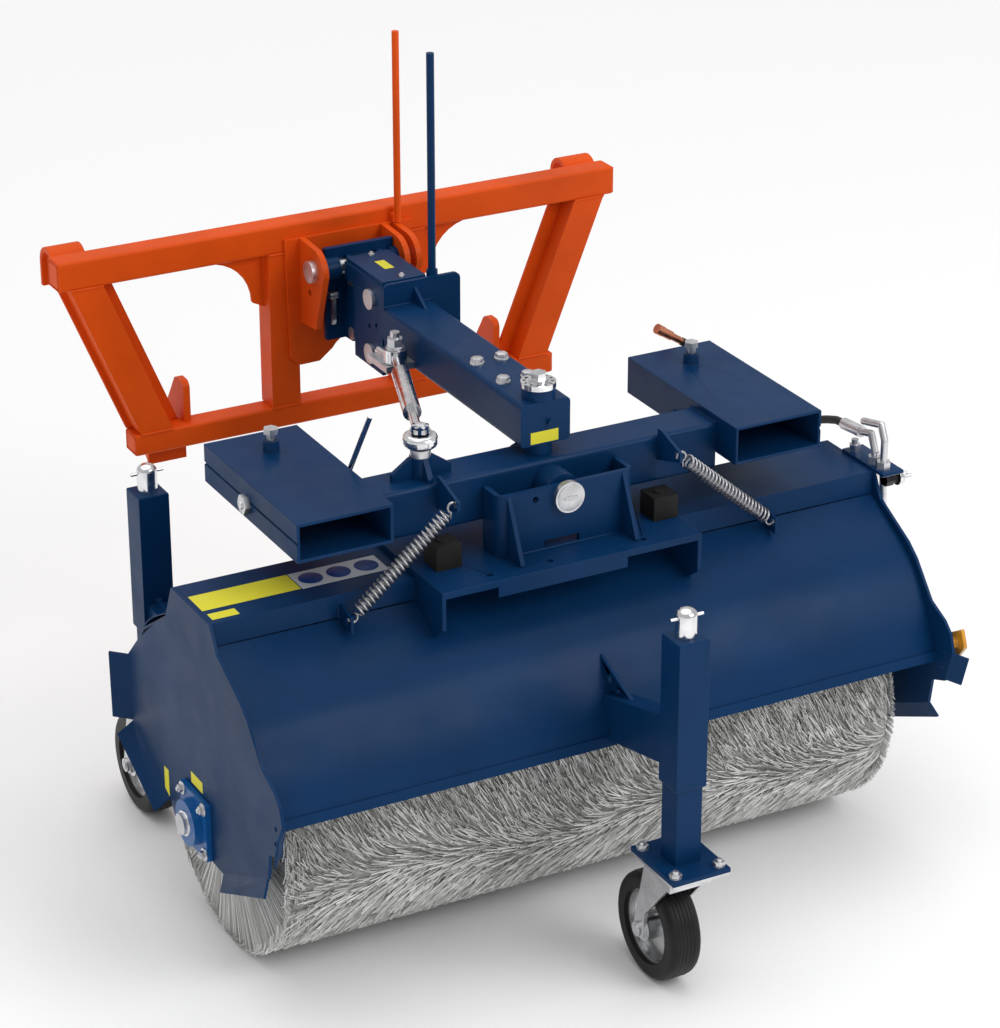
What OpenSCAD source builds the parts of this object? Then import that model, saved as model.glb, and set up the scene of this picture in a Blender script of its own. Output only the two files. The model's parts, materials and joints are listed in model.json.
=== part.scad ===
// Tractor-mounted sweeping machine: hitch frame, floating head, swinging boom and sprung brush hood.
// Millimetres. +Z is up, +X points to the drive motor, +Y to the carrier vehicle, the ground is z 0.

/* [Hitch frame] */
// Width over the top beam
hitch_w = 1200; // [1000:10:1400]
// Depth of the beams, front to back
beam_d = 52; // [40:1:64]
// Height of the top beam
top_beam_h = 58; // [46:1:72]
// Height of the lower beam
low_beam_h = 44; // [36:1:56]
// Width over the lower beam
low_beam_w = 922; // [880:2:1000]
// Clear height between the two beams
hitch_drop = 320; // [290:2:350]
// Width of an upright
upright_w = 61; // [46:1:72]
// Clear width between the uprights
upright_gap = 216; // [190:2:240]
// Thickness of the welded plates
plate_t = 8; // [6:1:10]
// Diameter of the lock pin bores in the lower brackets
lock_bore = 32; // [26:1:36]
// Inner radius of the hooks behind the top beam
hook_r = 25; // [21:1:29]

/* [Floating head] */
// Length of the float links, pin to pin
link_l = 110; // [100:1:125]
// Width of the float links
link_w = 52; // [44:1:54]
// Diameter of the link pins
link_pin_d = 18; // [14:1:20]
// Diameter of the ear pin
ear_pin_d = 30; // [24:1:32]
// Width over the head side plates
head_w = 100; // [96:1:108]

/* [Boom] */
// Length of the boom from the yaw pin to the head
boom_l = 515; // [480:5:560]
// Height of the boom tube
boom_h = 82; // [74:1:86]
// Wall of the boom tube
boom_t = 5; // [4:0.5:7]
// Diameter of the yaw pin
yaw_pin_d = 35; // [28:1:38]
// Diameter of the strut rods
strut_d = 18; // [14:1:20]

/* [Swing frame] */
// Width between the fork pockets
cross_w = 690; // [670:2:760]
// Side of the square cross beam
cross_s = 90; // [84:1:94]
// Length of a fork pocket
pocket_l = 391; // [350:2:430]
// Width of a fork pocket
pocket_w = 183; // [160:1:200]
// Height of a fork pocket
pocket_h = 73; // [66:1:80]
// Wall of a fork pocket
pocket_t = 6; // [4:0.5:8]
// Diameter of the clamp bolts
clamp_d = 16; // [12:1:20]
// Diameter of the roll pin
roll_pin_d = 36; // [30:1:40]

/* [Springs] */
// Outer diameter of a spring
spring_d = 28; // [24:1:30]
// Diameter of the spring wire
spring_wire = 5; // [4:0.5:5.5]
// Curls of a spring
spring_turns = 24; // [18:1:26]

/* [Hood] */
// Width over the end plates
hood_w = 1360; // [1300:10:1460]
// Thickness of an end plate
end_t = 6; // [4:1:8]
// Width of the top channel, front to back
chan_w = 164; // [156:2:176]
// Height of the top channel
chan_h = 46; // [40:1:54]
// Thickness of the hood sheet
sheet_t = 4; // [3:0.5:5]

/* [Brush] */
// Radius of the brush over its bristles
brush_r = 262; // [250:1:262]
// Diameter of the brush shaft
shaft_d = 40; // [34:1:46]
// Outer radius of the bristle backing
backing_r = 80; // [70:1:90]
// Rows of bristle tufts along the brush
tuft_rows = 20; // [18:1:22]

/* [Castors] */
// Outer diameter of a wheel
wheel_d = 200; // [180:2:206]
// Width of a wheel
wheel_w = 62; // [50:1:64]
// Trail of a wheel behind its swivel axis
trail = 66; // [56:1:70]
// Side of the outer mast tube
mast_s = 60; // [58:1:68]
// Diameter of the wheel axle
axle_d = 16; // [12:1:18]

/* [Hidden] */
$fn = 48;
// Running clearance on a radius, and the gap between faces that move past each other
fit = 0.05;
gap = 0.3;

// Places, worked out from the ground up and from the yaw axis back
ground_axle_z = 262;
hood_top = 684;
carriage_t = 13;
roll_z = hood_top + 108;
cross_top = roll_z + cross_s / 2;
cross_bot = roll_z - cross_s / 2;
cross_front = -50;
cross_back = cross_front + cross_s;
yaw_y = -5;
boom_z = cross_top + 23;
boom_top = boom_z + boom_h;
head_y = yaw_y + boom_l;
head_out = head_w / 2;
head_in = head_out - plate_t;
beam_t = 6;
pin_front_y = head_y + 56;
pin_rear_y = pin_front_y + link_l;
pin_high_z = boom_top - 1;
link_drop = 111;
pin_low_z = pin_high_z - link_drop;
carrier_y = pin_rear_y + 30;
carrier_t = 12;
ear_y = pin_rear_y + 24;
ear_z = pin_high_z + 21;
hitch_y = pin_rear_y + 95;
hitch_back = hitch_y + beam_d;
centre_y = hitch_y - plate_t;
top_z = pin_high_z + 40;
top_up = top_z + top_beam_h;
low_up = top_z - hitch_drop;
low_z = low_up - low_beam_h;
up_in = upright_gap / 2;
up_out = up_in + upright_w;
head_top = top_z - 1;
lid_t = 8;
hook_wall = 10;
lug_in = link_w / 2 + 2;
lug_t = 10;

pocket_in = cross_w / 2;
pocket_out = pocket_in + pocket_w;
pocket_front = -119;
pocket_back = pocket_front + pocket_l;
pocket_z = cross_top - 58;
pocket_up = pocket_z + pocket_h;
pocket_mid = (pocket_in + pocket_out) / 2;
clamp_y = 187;

plate_out = hood_w / 2;
plate_in = plate_out - end_t;
chan_y = chan_w / 2;
chan_z = hood_top - chan_h;
chan_t = 6;
carriage_up = hood_top + carriage_t;

// Strut between the boom and the swing frame: eyes at both ends
eye_a = [-82, head_y - 110, cross_top + 55];
eye_b = [-235, yaw_y, cross_top + 69];
strut_v = eye_b - eye_a;
strut_len = norm(strut_v);
strut_u = strut_v / strut_len;
sleeve_a = 100;
sleeve_b = 300;

// Springs, drawn between the swing frame and the channel
spring_y = -117;
spring_hi = [224, roll_z + 34];
spring_lo = [432, roll_z - 145];
hook_in = 24;
hook_loop = 9;
lug_hole = spring_wire / 2 + 5.4;

// Brush
end_space = 46;
brush_half = plate_in - end_space;
motor_reach = 118;
shaft_reach = 36;
backing_in = 60;
tufts_round = 15;
tuft_w = 8;

// Castors: swivel axes seen from above
castor_front = [0, -523];
castor_rear = [-567, 454];
mast_lo = 414;
mast_up = 697;
inner_s = mast_s - 10;
foot_half = 72.5;
inner_lo = 268;
inner_up = 620;
foot_lo = 260;
swivel_z = 255;
axle_z = wheel_d / 2;

// The middle of the machine seen from above, which is the origin of the part
middle_x = (motor_reach - shaft_reach) / 2;
middle_y = (hitch_back + 2 * (hook_r + hook_wall) + castor_front[1] - foot_half) / 2;

// Colours of the machine
blue = [0.07, 0.13, 0.30];
orange = [0.85, 0.28, 0.08];
chrome = [0.78, 0.78, 0.80];
zinc = [0.60, 0.61, 0.62];
black = [0.08, 0.08, 0.09];

// Moves a finished sub-part from the working axes to the part's origin
module place() {
    translate([-middle_x, -middle_y, 0]) children();
}

// A block between two corners
module block(x0, x1, y0, y1, z0, z1) {
    translate([x0, y0, z0]) cube([x1 - x0, y1 - y0, z1 - z0]);
}

// Round bars along the three axes
module bar_x(x0, x1, y, z, d) {
    translate([x0, y, z]) rotate([0, 90, 0]) cylinder(h = x1 - x0, d = d);
}

module bar_y(y0, y1, x, z, d) {
    translate([x, y0, z]) rotate([-90, 0, 0]) cylinder(h = y1 - y0, d = d);
}

module bar_z(z0, z1, x, y, d) {
    translate([x, y, z0]) cylinder(h = z1 - z0, d = d);
}

// A hexagon nut or head along Z
module hex_z(z0, z1, x, y, across) {
    translate([x, y, z0]) cylinder(h = z1 - z0, d = across / cos(30), $fn = 6);
}

// A round rod from one point to another
module rod(a, b, d) {
    v = b - a;
    l = norm(v);
    translate(a) rotate([0, acos(v[2] / l), atan2(v[1], v[0])]) cylinder(h = l, d = d);
}

// A plate that lies in the YZ plane, from x0 to x1
module side_plate(x0, x1, pts) {
    translate([x0, 0, 0]) rotate([90, 0, 90]) linear_extrude(x1 - x0) polygon(pts);
}

// A plate that lies in the XZ plane, from y0 to y1
module face_plate(y0, y1, pts) {
    translate([0, y1, 0]) rotate([90, 0, 0]) linear_extrude(y1 - y0) polygon(pts);
}

// A square tube along Z, open at both ends
module tube_z(x, y, z0, z1, s, t) {
    difference() {
        block(x - s / 2, x + s / 2, y - s / 2, y + s / 2, z0, z1);
        block(x - s / 2 + t, x + s / 2 - t, y - s / 2 + t, y + s / 2 - t, z0 - 1, z1 + 1);
    }
}

// Points of an arc, for use in an outline
function arc(c, r, a0, a1, n) = [for (i = [0:n]) let (a = a0 + (a1 - a0) * i / n) c + r * [cos(a), sin(a)]];

// Outline of a rectangle with round corners of radius r
function rounded(u0, u1, v0, v1, r) = concat(arc([u1 - r, v1 - r], r, 0, 90, 4),
    arc([u0 + r, v1 - r], r, 90, 180, 4), arc([u0 + r, v0 + r], r, 180, 270, 4),
    arc([u1 - r, v0 + r], r, 270, 360, 4));

// Points turned left to right
function mirrored(pts) = [for (p = pts) [-p[0], p[1]]];

// Unit vector, and the normal to the left of a step
function unit(v) = v / norm(v);
function left_of(v) = [-v[1], v[0]];

// Offset of point i of a path by t to the left, mitred
function mitre(p, i, t) =
    let (
        n = len(p),
        a = i > 0 ? left_of(unit(p[i] - p[i - 1])) : left_of(unit(p[1] - p[0])),
        b = i < n - 1 ? left_of(unit(p[i + 1] - p[i])) : left_of(unit(p[n - 1] - p[n - 2])),
        m = unit(a + b)
    ) p[i] + m * t / (m * a);

// A folded sheet of thickness t to the left of its outer path
function folded(p, t) = concat(p, [for (i = [len(p) - 1:-1:0]) mitre(p, i, t)]);

// A round tube swept along points as one closed solid
function path_dir(p, i) = unit(p[min(i + 1, len(p) - 1)] - p[max(i - 1, 0)]);

module sweep(p, r, sides, up) {
    n = len(p);
    rings = [for (i = [0:n - 1])
        let (
            d = path_dir(p, i),
            u = unit(cross(up, d)),
            v = cross(d, u)
        )
        for (k = [0:sides - 1]) p[i] + r * (cos(360 * k / sides) * u + sin(360 * k / sides) * v)];
    walls = [for (i = [0:n - 2])
        for (k = [0:sides - 1])
            let (
                a = i * sides + k,
                b = i * sides + (k + 1) % sides
            )
            each [[a, a + sides, b], [b, a + sides, b + sides]]];
    start = [for (k = [1:sides - 2]) [0, k, k + 1]];
    last = (n - 1) * sides;
    stop = [for (k = [1:sides - 2]) [last, last + k + 1, last + k]];
    polyhedron(rings, concat(walls, start, stop), convexity = 10);
}

// Hitch frame of the carrier vehicle side

// Box beam from -half to half, with a plate let into each end
module box_beam(half, z0, z1) {
    difference() {
        side_plate(-half, half, rounded(hitch_y, hitch_back, z0, z1, beam_t));
        block(-half - 1, half + 1, hitch_y + beam_t, hitch_back - beam_t, z0 + beam_t, z1 - beam_t);
    }
    for (x = [-half, half - beam_t]) {
        block(x, x + beam_t, hitch_y + beam_t + gap, hitch_back - beam_t - gap, z0 + beam_t + gap,
            z1 - beam_t - gap);
    }
}

module hitch_top_beam() {
    place() color(orange) box_beam(hitch_w / 2, top_z, top_up);
}

module hitch_lower_beam() {
    place() color(orange) box_beam(low_beam_w / 2, low_z, low_up);
}

// One slanted box bar with its wider back strip
module diagonal() {
    top_x = hitch_w / 2 - 90;
    low_x = low_beam_w / 2 - 80;
    bar_w = 67;
    lean = (top_x - low_x) / (top_z - low_up);
    difference() {
        face_plate(hitch_y, hitch_back - plate_t,
            [[top_x, top_z], [top_x + bar_w, top_z], [low_x + bar_w, low_up], [low_x, low_up]]);
        face_plate(hitch_y + beam_t, hitch_back - plate_t - beam_t,
            [[top_x + beam_t + lean, top_z + 1], [top_x + bar_w - beam_t + lean, top_z + 1],
            [low_x + bar_w - beam_t - lean, low_up - 1], [low_x + beam_t - lean, low_up - 1]]);
    }
    face_plate(hitch_back - plate_t, hitch_back,
        [[top_x - 28, top_z], [top_x + bar_w + 13, top_z], [low_x + bar_w + 13, low_up],
            [low_x - 28, low_up]]);
}

module hitch_diagonals() {
    place() color(orange) {
        diagonal();
        mirror([1, 0, 0]) diagonal();
    }
}

// One upright with its hollowed corner gusset
module upright() {
    difference() {
        block(up_in, up_out, hitch_y, hitch_back, low_up, top_z);
        block(up_in + beam_t, up_out - beam_t, hitch_y + beam_t, hitch_back - beam_t, low_up - 1, top_z + 1);
    }
    corner = [up_out + 120, top_z - 100];
    face_plate(hitch_y + 24, hitch_y + 24 + plate_t,
        concat([[up_out, top_z], [corner[0], top_z]], arc(corner, 94, 90, 180, 8),
            [[up_out, corner[1] - 12]]));
}

module hitch_uprights() {
    place() color(orange) {
        upright();
        mirror([1, 0, 0]) upright();
    }
}

module hitch_centre_plate() {
    half = up_out - 32;
    foot = low_up + 85;
    place() color(orange) face_plate(centre_y, hitch_y, concat(
        [[half, top_z + 29], [-half, top_z + 29], [-half + 6, foot + 18], [-half + 27, foot]],
        [[-68, foot + 1]], arc([0, foot + 1], 45, 150, 30, 8), [[68, foot + 1]],
        [[half - 27, foot], [half - 6, foot + 18]]));
}

// One ear plate, its bore for the ear pin and the small lock hole
module ear(x0, x1) {
    difference() {
        side_plate(x0, x1, concat([[centre_y, top_z + 29]], arc([ear_y, ear_z], 45, 90, 180, 8),
            [[ear_y - 4, top_z - 139], [centre_y, top_z - 146]]));
        bar_x(x0 - 1, x1 + 1, ear_y, ear_z, ear_pin_d + 2 * fit);
        bar_x(x0 - 1, x1 + 1, ear_y + 20, top_z - 70, 14);
    }
}

module hitch_ears() {
    place() color(orange) {
        ear(-106, -94);
        ear(94, 106);
        ear(69, 81);
    }
}

// One hook: an inverted U of flat bar, open at the bottom, with a guide bump
module hook(x0, x1) {
    hook_y = hitch_back + hook_r + hook_wall;
    hook_z = top_up - 31;
    side_plate(x0, x1, concat(
        [[hook_y + hook_r + hook_wall, hook_z - 50]], arc([hook_y, hook_z], hook_r + hook_wall, 0, 180, 16),
        [[hook_y - hook_r - hook_wall, hook_z - 27], [hook_y - hook_r, hook_z - 27]],
        arc([hook_y, hook_z], hook_r, 180, 0, 16), [[hook_y + hook_r, hook_z - 50]]));
}

module hooks() {
    place() color(orange) {
        hook(hitch_w / 2 - 80, hitch_w / 2 - 10);
        hook(10 - hitch_w / 2, 80 - hitch_w / 2);
    }
}

// Lock bracket behind the lower beam: two cheeks with a pin bore
module lower_bracket() {
    x_in = low_beam_w / 2 - 126;
    x_out = low_beam_w / 2 - 60;
    bore_y = hitch_back + 32;
    bore_z = low_z + 15;
    cheek_t = 14;
    eye = arc([bore_y, bore_z], 28, 0, -70, 6);
    foot = [hitch_back, bore_z - 60];
    difference() {
        union() {
            side_plate(x_in, x_in + cheek_t, concat([[hitch_back, low_up], [hitch_y + 21, low_up]],
                arc([hitch_y + 36, low_up + 69], 15, 180, 90, 4),
                arc([hitch_back, low_up + 66], 18, 90, 30, 4), [[bore_y + 26, bore_z + 40]], eye, [foot]));
            side_plate(x_out, x_out + cheek_t, concat([[hitch_back, low_up + 20],
                [hitch_back + 20, low_up + 20], [bore_y + 28, bore_z + 20]], eye, [foot]));
            block(x_in, x_out + cheek_t, hitch_back, hitch_back + plate_t, foot[1], bore_z - 18);
        }
        bar_x(x_in - 1, x_out + cheek_t + 1, bore_y, bore_z, lock_bore);
    }
}

module lower_bracket_left() {
    place() color(orange) mirror([1, 0, 0]) lower_bracket();
}

module lower_bracket_right() {
    place() color(orange) lower_bracket();
}

// Tall sight rod on the front of the hitch
module indicator_rod() {
    place() color(orange) {
        bar_z(top_z + 30, top_z + 415, up_in - 5, centre_y - 7.5, 14);
        block(up_in - 15, up_in + 5, centre_y - 9, hitch_y, top_z + 30, top_z + 46);
    }
}

// Carrier: the plate that hangs on the ear pin, with two lugs for the rear link pins
module head_carrier() {
    lug = concat([[carrier_y, pin_low_z - 18]], arc([pin_rear_y, pin_low_z], 16, 270, 180, 5),
        arc([pin_rear_y, pin_high_z], 16, 180, 120, 4), arc([ear_y, ear_z], 22, 135, 80, 4),
        [[carrier_y, ear_z + 21]]);
    place() color(blue) difference() {
        union() {
            block(-78, 67, carrier_y, carrier_y + carrier_t, top_z - 169, top_z + 19);
            side_plate(lug_in, lug_in + lug_t, lug);
            side_plate(-lug_in - lug_t, -lug_in, lug);
            bar_x(-88, -head_out - 6, ear_y, ear_z, ear_pin_d + 14);
            bar_x(head_out + 6, 69 - gap, ear_y, ear_z, ear_pin_d + 14);
            block(-58.7, -54, carrier_y - 16, carrier_y, ear_z - 65, ear_z - 45);
            bar_x(-80, -54, carrier_y - 8, ear_z - 55, 8);
        }
        bar_x(-120, 120, ear_y, ear_z, ear_pin_d + 2 * fit);
        for (z = [pin_low_z, pin_high_z]) {
            bar_x(-60, 60, pin_rear_y, z, link_pin_d + 2 * fit);
        }
    }
}

module ear_pin() {
    place() color(zinc) {
        bar_x(-112, 116, ear_y, ear_z, ear_pin_d);
        bar_x(-118, -106.1, ear_y, ear_z, ear_pin_d + 14);
        bar_x(106.1, 112, ear_y, ear_z, ear_pin_d + 10);
    }
}

// Pins in the rear eyes of the links, with thin heads
module rear_link_pins() {
    reach = lug_in + lug_t;
    place() color(zinc) for (z = [pin_low_z, pin_high_z]) {
        bar_x(-reach, reach, pin_rear_y, z, link_pin_d);
        bar_x(-reach - 2.5, -reach, pin_rear_y, z, link_pin_d + 8);
        bar_x(reach, reach + 2.5, pin_rear_y, z, link_pin_d + 8);
    }
}

// Hand lever on the carrier
module latch_lever() {
    z = ear_z - 55;
    y = carrier_y - 8;
    place() color(zinc) difference() {
        union() {
            bar_x(-75, -59, y, z, 15);
            side_plate(-71, -63, [[y - 6, z], [y - 5, z - 50], [y - 2, z - 60], [y + 4, z - 60],
                [y + 6, z]]);
        }
        bar_x(-90, -50, y, z, 8 + 2 * fit);
    }
}

// Float link: solid bar with a broad front boss
module link(z) {
    body_h = 26;
    difference() {
        union() {
            block(-link_w / 2, link_w / 2, pin_front_y, pin_rear_y, z - body_h / 2, z + body_h / 2);
            bar_x(-link_w / 2, link_w / 2, pin_rear_y, z, body_h + 2);
            bar_x(-head_in + gap, head_in - gap, pin_front_y, z, 40);
        }
        bar_x(-60, 60, pin_rear_y, z, link_pin_d + 2 * fit);
        bar_x(-60, 60, pin_front_y, z, link_pin_d + 2 * fit);
    }
}

module upper_link() {
    place() color(blue) link(pin_high_z);
}

module lower_link() {
    place() color(blue) link(pin_low_z);
}

// Pins in the head side plates, with round heads outside
module front_link_pins() {
    place() color(zinc) for (z = [pin_low_z, pin_high_z]) {
        bar_x(-head_out - 7, head_out + 7, pin_front_y, z, link_pin_d);
        bar_x(-head_out - 7, -head_out, pin_front_y, z, 40);
        bar_x(head_out, head_out + 7, pin_front_y, z, 40);
    }
}

// Side plate of the head, with the top extension over the carrier lugs
module head_side(x0, x1) {
    back = pin_front_y + 74;
    difference() {
        side_plate(x0, x1, [[head_y + 8, boom_z - 60], [back, boom_z - 60], [back, head_top - 35],
            [pin_rear_y + 4, head_top - 35], [pin_rear_y + 4, head_top], [head_y + 8, head_top]]);
        for (z = [pin_low_z, pin_high_z]) {
            bar_x(x0 - 1, x1 + 1, pin_front_y, z, link_pin_d + 2 * fit);
        }
        bar_x(x0 - 1, x1 + 1, pin_front_y + 8, pin_low_z + 53, 9);
        bar_x(x0 - 1, x1 + 1, pin_front_y - 21, pin_low_z + 63, 9);
    }
}

module head_sides() {
    place() color(blue) {
        head_side(-head_out, -head_in);
        head_side(head_in, head_out);
        block(4 - head_out, head_out - 4, head_y + 13, pin_rear_y + 4, head_top, head_top + lid_t);
    }
}

// Front plate of the head with its rib and, behind it, the sight rod in its socket
module head_front_plate() {
    rod_x = head_out + 11 + gap;
    place() color(blue) {
        face_plate(head_y, head_y + 8, rounded(-head_out, head_out + 63, boom_z + 8, head_top + 6, 12));
        bar_z(head_top - 62, head_top + 14, rod_x, head_y + 17, 22);
        bar_z(head_top - 62, head_top + 440, rod_x, head_y + 17, 15);
        side_plate(14, 20, [[head_y, boom_top], [head_y - 46, boom_top], [head_y, boom_top + 30]]);
    }
}

// Boom: open tube with its yaw bosses, end cap and flanged bolts
module boom() {
    cap_y = yaw_y - 27;
    place() color(blue) difference() {
        union() {
            difference() {
                face_plate(cap_y, head_y, rounded(-head_out, head_out, boom_z, boom_top, 9));
                block(boom_t - head_out, head_out - boom_t, cap_y + 4, head_y + 1,
                    boom_z + boom_t, boom_top - boom_t);
            }
            bar_z(cross_top + gap, boom_z + 1, 0, yaw_y, yaw_pin_d + 15);
            bar_z(boom_z + 1, boom_top, 0, yaw_y, yaw_pin_d + 15);
            bar_z(boom_top - 1, boom_top + 20, 0, yaw_y, yaw_pin_d + 25);
            bar_y(cap_y - 8, cap_y, 7, boom_top - 40, 10);
            for (y = [head_y - 430, head_y - 330]) {
                for (x = [-25, 25]) {
                    bar_z(boom_top, boom_top + 4, x, y, 26);
                    hex_z(boom_top + 4, boom_top + 12, x, y, 17);
                }
            }
        }
        bar_z(cross_top - 1, boom_top + 21, 0, yaw_y, yaw_pin_d + 2 * fit);
    }
}

// Lug on the boom side with the rear strut bolt and its washer and nut
module strut_anchor() {
    z = eye_a[2];
    place() color(zinc) {
        block(eye_a[0] - 28, -head_out, eye_a[1] - 20, eye_a[1] + 60, z - 26, z - 14);
        bar_z(z - 14, z + 46, eye_a[0], eye_a[1], strut_d);
        bar_z(z + 13 + gap, z + 17, eye_a[0], eye_a[1], 34);
        hex_z(z + 17, z + 34, eye_a[0], eye_a[1], 27);
        rod([eye_a[0] - 3, eye_a[1] + 25, z - 13], [eye_a[0] - 3, eye_a[1] + 63, z - 13], 16);
    }
}

// Rear half of the strut: eye, threaded rod and the long sleeve nut
module strut_rear() {
    place() color(chrome) difference() {
        union() {
            translate(eye_a - [0, 0, 13]) cylinder(h = 26, d = 44);
            rod(eye_a + 16 * strut_u, eye_a + (sleeve_a + 4) * strut_u, strut_d);
            rod(eye_a + sleeve_a * strut_u, eye_a + sleeve_b * strut_u, strut_d + 16);
        }
        bar_z(eye_a[2] - 20, eye_a[2] + 20, eye_a[0], eye_a[1], strut_d + 2 * fit);
        rod(eye_a + (sleeve_a + 10) * strut_u, eye_a + (sleeve_b + 1) * strut_u, strut_d + 2 * fit);
    }
}

// Front half of the strut: rod and the broad eye
module strut_front() {
    place() color(chrome) difference() {
        union() {
            rod(eye_a + (sleeve_a + 65) * strut_u, eye_b - 28 * strut_u, strut_d);
            translate(eye_b) rotate_extrude() polygon(concat([[0, 12.5]], arc([22, 3], 9.5, 90, 0, 5),
                arc([22, -3], 9.5, 0, -90, 5), [[0, -12.5]]));
        }
        bar_z(eye_b[2] - 20, eye_b[2] + 20, eye_b[0], eye_b[1], strut_d + 6);
    }
}

// Outline of a spring lug on the cross beam and of one under the channel
module hooked_lug(x, pts, hole) {
    difference() {
        side_plate(x - 3, x + 3, pts);
        bar_x(x - 4, x + 4, hole[0], hole[1], 2 * lug_hole);
    }
}

module beam_lug() {
    top = cross_top + 15;
    hooked_lug(spring_hi[0], [[cross_front, top], [cross_front - 12, top], [spring_y - 12, top - 20],
        [spring_y - 12, roll_z + 22], [cross_front, roll_z - 2]], [spring_y, spring_hi[1] - 0.8]);
}

// Square cross beam with the roll sleeve through it, corner gussets and spring lugs
module cross_beam() {
    wall = 6;
    gusset = 60;
    place() color(blue) difference() {
        union() {
            difference() {
                side_plate(-pocket_in, pocket_in, rounded(cross_front, cross_back, cross_bot, cross_top, 8));
                block(-pocket_in - 1, pocket_in + 1, cross_front + wall, cross_back - wall,
                    cross_bot + wall, cross_top - wall);
            }
            bar_y(cross_front - 48, cross_back + 8, 0, roll_z, roll_pin_d + 34);
            for (s = [0, 1]) {
                mirror([s, 0, 0]) {
                    beam_lug();
                    translate([0, 0, roll_z + 8]) linear_extrude(plate_t)
                        polygon([[pocket_in, cross_back], [pocket_in, cross_back + gusset],
                            [pocket_in - gusset, cross_back]]);
                }
            }
        }
        bar_y(cross_front - 49, cross_back + 9, 0, roll_z, roll_pin_d + 2 * fit);
    }
}

// Fork pocket: open box tube with a fold seam, a threaded boss on top and a nut on the outer side
module pocket() {
    seam = pocket_z + pocket_h / 2;
    difference() {
        union() {
            block(pocket_in, pocket_out, pocket_front, pocket_back, pocket_z, pocket_up);
            bar_z(pocket_up, pocket_up + 22, pocket_mid - 2, clamp_y, clamp_d + 14);
        }
        block(pocket_in + pocket_t, pocket_out - pocket_t, pocket_front - 1, pocket_back + 1,
            pocket_z + pocket_t, pocket_up - pocket_t);
        block(pocket_out - pocket_t / 2, pocket_out + 1, pocket_front - 1, pocket_back + 1, seam - 2, seam + 2);
        bar_z(pocket_up - pocket_t - 1, pocket_up + 23, pocket_mid - 2, clamp_y, clamp_d + 2 * fit);
    }
}

module left_pocket() {
    place() color(blue) mirror([1, 0, 0]) pocket();
    place() color(zinc) translate([-pocket_out - 10, 89, pocket_z + 29]) rotate([0, 90, 0])
        cylinder(h = 10, d = 27 / cos(30), $fn = 6);
}

module right_pocket() {
    place() color(blue) pocket();
}

// Yaw pin on the cross beam with its graduated ring
module yaw_pin() {
    place() color(chrome) {
        bar_z(cross_top, boom_top + 30, 0, yaw_y, yaw_pin_d);
        bar_z(boom_top + 20 + gap, boom_top + 30, 0, yaw_y, yaw_pin_d + 29);
        bar_z(boom_top + 30, boom_top + 34, 0, yaw_y, yaw_pin_d + 1);
        hex_z(boom_top + 34, boom_top + 46, 0, yaw_y, 26);
    }
}

// Ribbed stand on the cross beam with the front strut stud and its castle nut
module strut_bracket() {
    x0 = eye_b[0] - 58;
    x1 = eye_b[0] + 58;
    deck = eye_b[2] - 30;
    place() color(blue) {
        face_plate(yaw_y - 5, yaw_y + 5, [[x0, cross_top], [x1, cross_top], [x1, cross_top + 14],
            [eye_b[0] + 22, deck], [eye_b[0] - 22, deck], [x0, cross_top + 14]]);
        side_plate(eye_b[0] - 5, eye_b[0] + 5, [[cross_front + 6, cross_top], [cross_back - 6, cross_top],
            [cross_back - 6, cross_top + 8], [yaw_y + 20, deck], [yaw_y - 20, deck],
            [cross_front + 6, cross_top + 8]]);
        bar_z(cross_top, deck, eye_b[0], eye_b[1], 40);
    }
    place() color(zinc) difference() {
        union() {
            bar_z(deck, eye_b[2] + 30, eye_b[0], eye_b[1], strut_d);
            bar_z(deck, eye_b[2] - 16, eye_b[0], eye_b[1], 36);
            hex_z(eye_b[2] + 15, eye_b[2] + 27, eye_b[0], eye_b[1], 30);
        }
        for (a = [0, 60, 120]) {
            translate([eye_b[0], eye_b[1], eye_b[2] + 25]) rotate([0, 0, a + 30])
                translate([-20, -2, 0]) cube([40, 4, 6]);
        }
    }
}

// Bent wire guide for the hoses behind the cross beam
module hose_guide() {
    x = 8 - pocket_in;
    place() color(black) {
        bar_y(cross_back, cross_back + 47, x, roll_z + 22, 10);
        translate([x, cross_back + 47, roll_z + 22]) sphere(d = 10);
        rod([x, cross_back + 47, roll_z + 22], [x, cross_front + 32, roll_z + 184], 10);
    }
}

// Clamp bolt on a fork pocket
module clamp_bolt(x) {
    color(zinc) {
        bar_z(pocket_up - pocket_t - 1, pocket_up + 34, x, clamp_y, clamp_d);
        hex_z(pocket_up + 34, pocket_up + 44, x, clamp_y, 24);
    }
}

module left_clamp_bolt() {
    place() clamp_bolt(2 - pocket_mid);
}

module right_clamp_bolt() {
    place() clamp_bolt(pocket_mid - 2);
}

// Tension spring: hook, close curls and hook as one unbroken wire
spring_v = spring_lo - spring_hi;
spring_len = norm(spring_v);
coil_r = (spring_d - spring_wire) / 2;
coil_len = spring_len - 2 * hook_in;
coil_rings = 8;

// Place along the spring axis (s) and across it (w in its plane, q along Y)
function spring_at(s, w, q) =
    let (
        d = spring_v / spring_len,
        p = spring_hi + s * d + w * [-d[1], d[0]]
    ) [p[0], spring_y + q, p[1]];

hook_arc = [for (i = [0:8])
    let (a = 230 - 260 * i / 8) spring_at(hook_loop + hook_loop * cos(a), hook_loop * sin(a), 0)];
tail_arc = [for (i = [8:-1:0])
    let (a = 230 - 260 * i / 8)
    spring_at(spring_len - hook_loop - hook_loop * cos(a), -hook_loop * sin(a), 0)];
coil = [for (i = [0:spring_turns * coil_rings])
    let (a = 360 * i / coil_rings) spring_at(hook_in + coil_len * i / (spring_turns * coil_rings),
        -coil_r * cos(a), coil_r * sin(a))];
spring_path = concat(hook_arc, coil, tail_arc);
spring_least = coil_len / spring_turns - spring_wire;
echo(str("least gap between spring curls ", spring_least));

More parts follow.
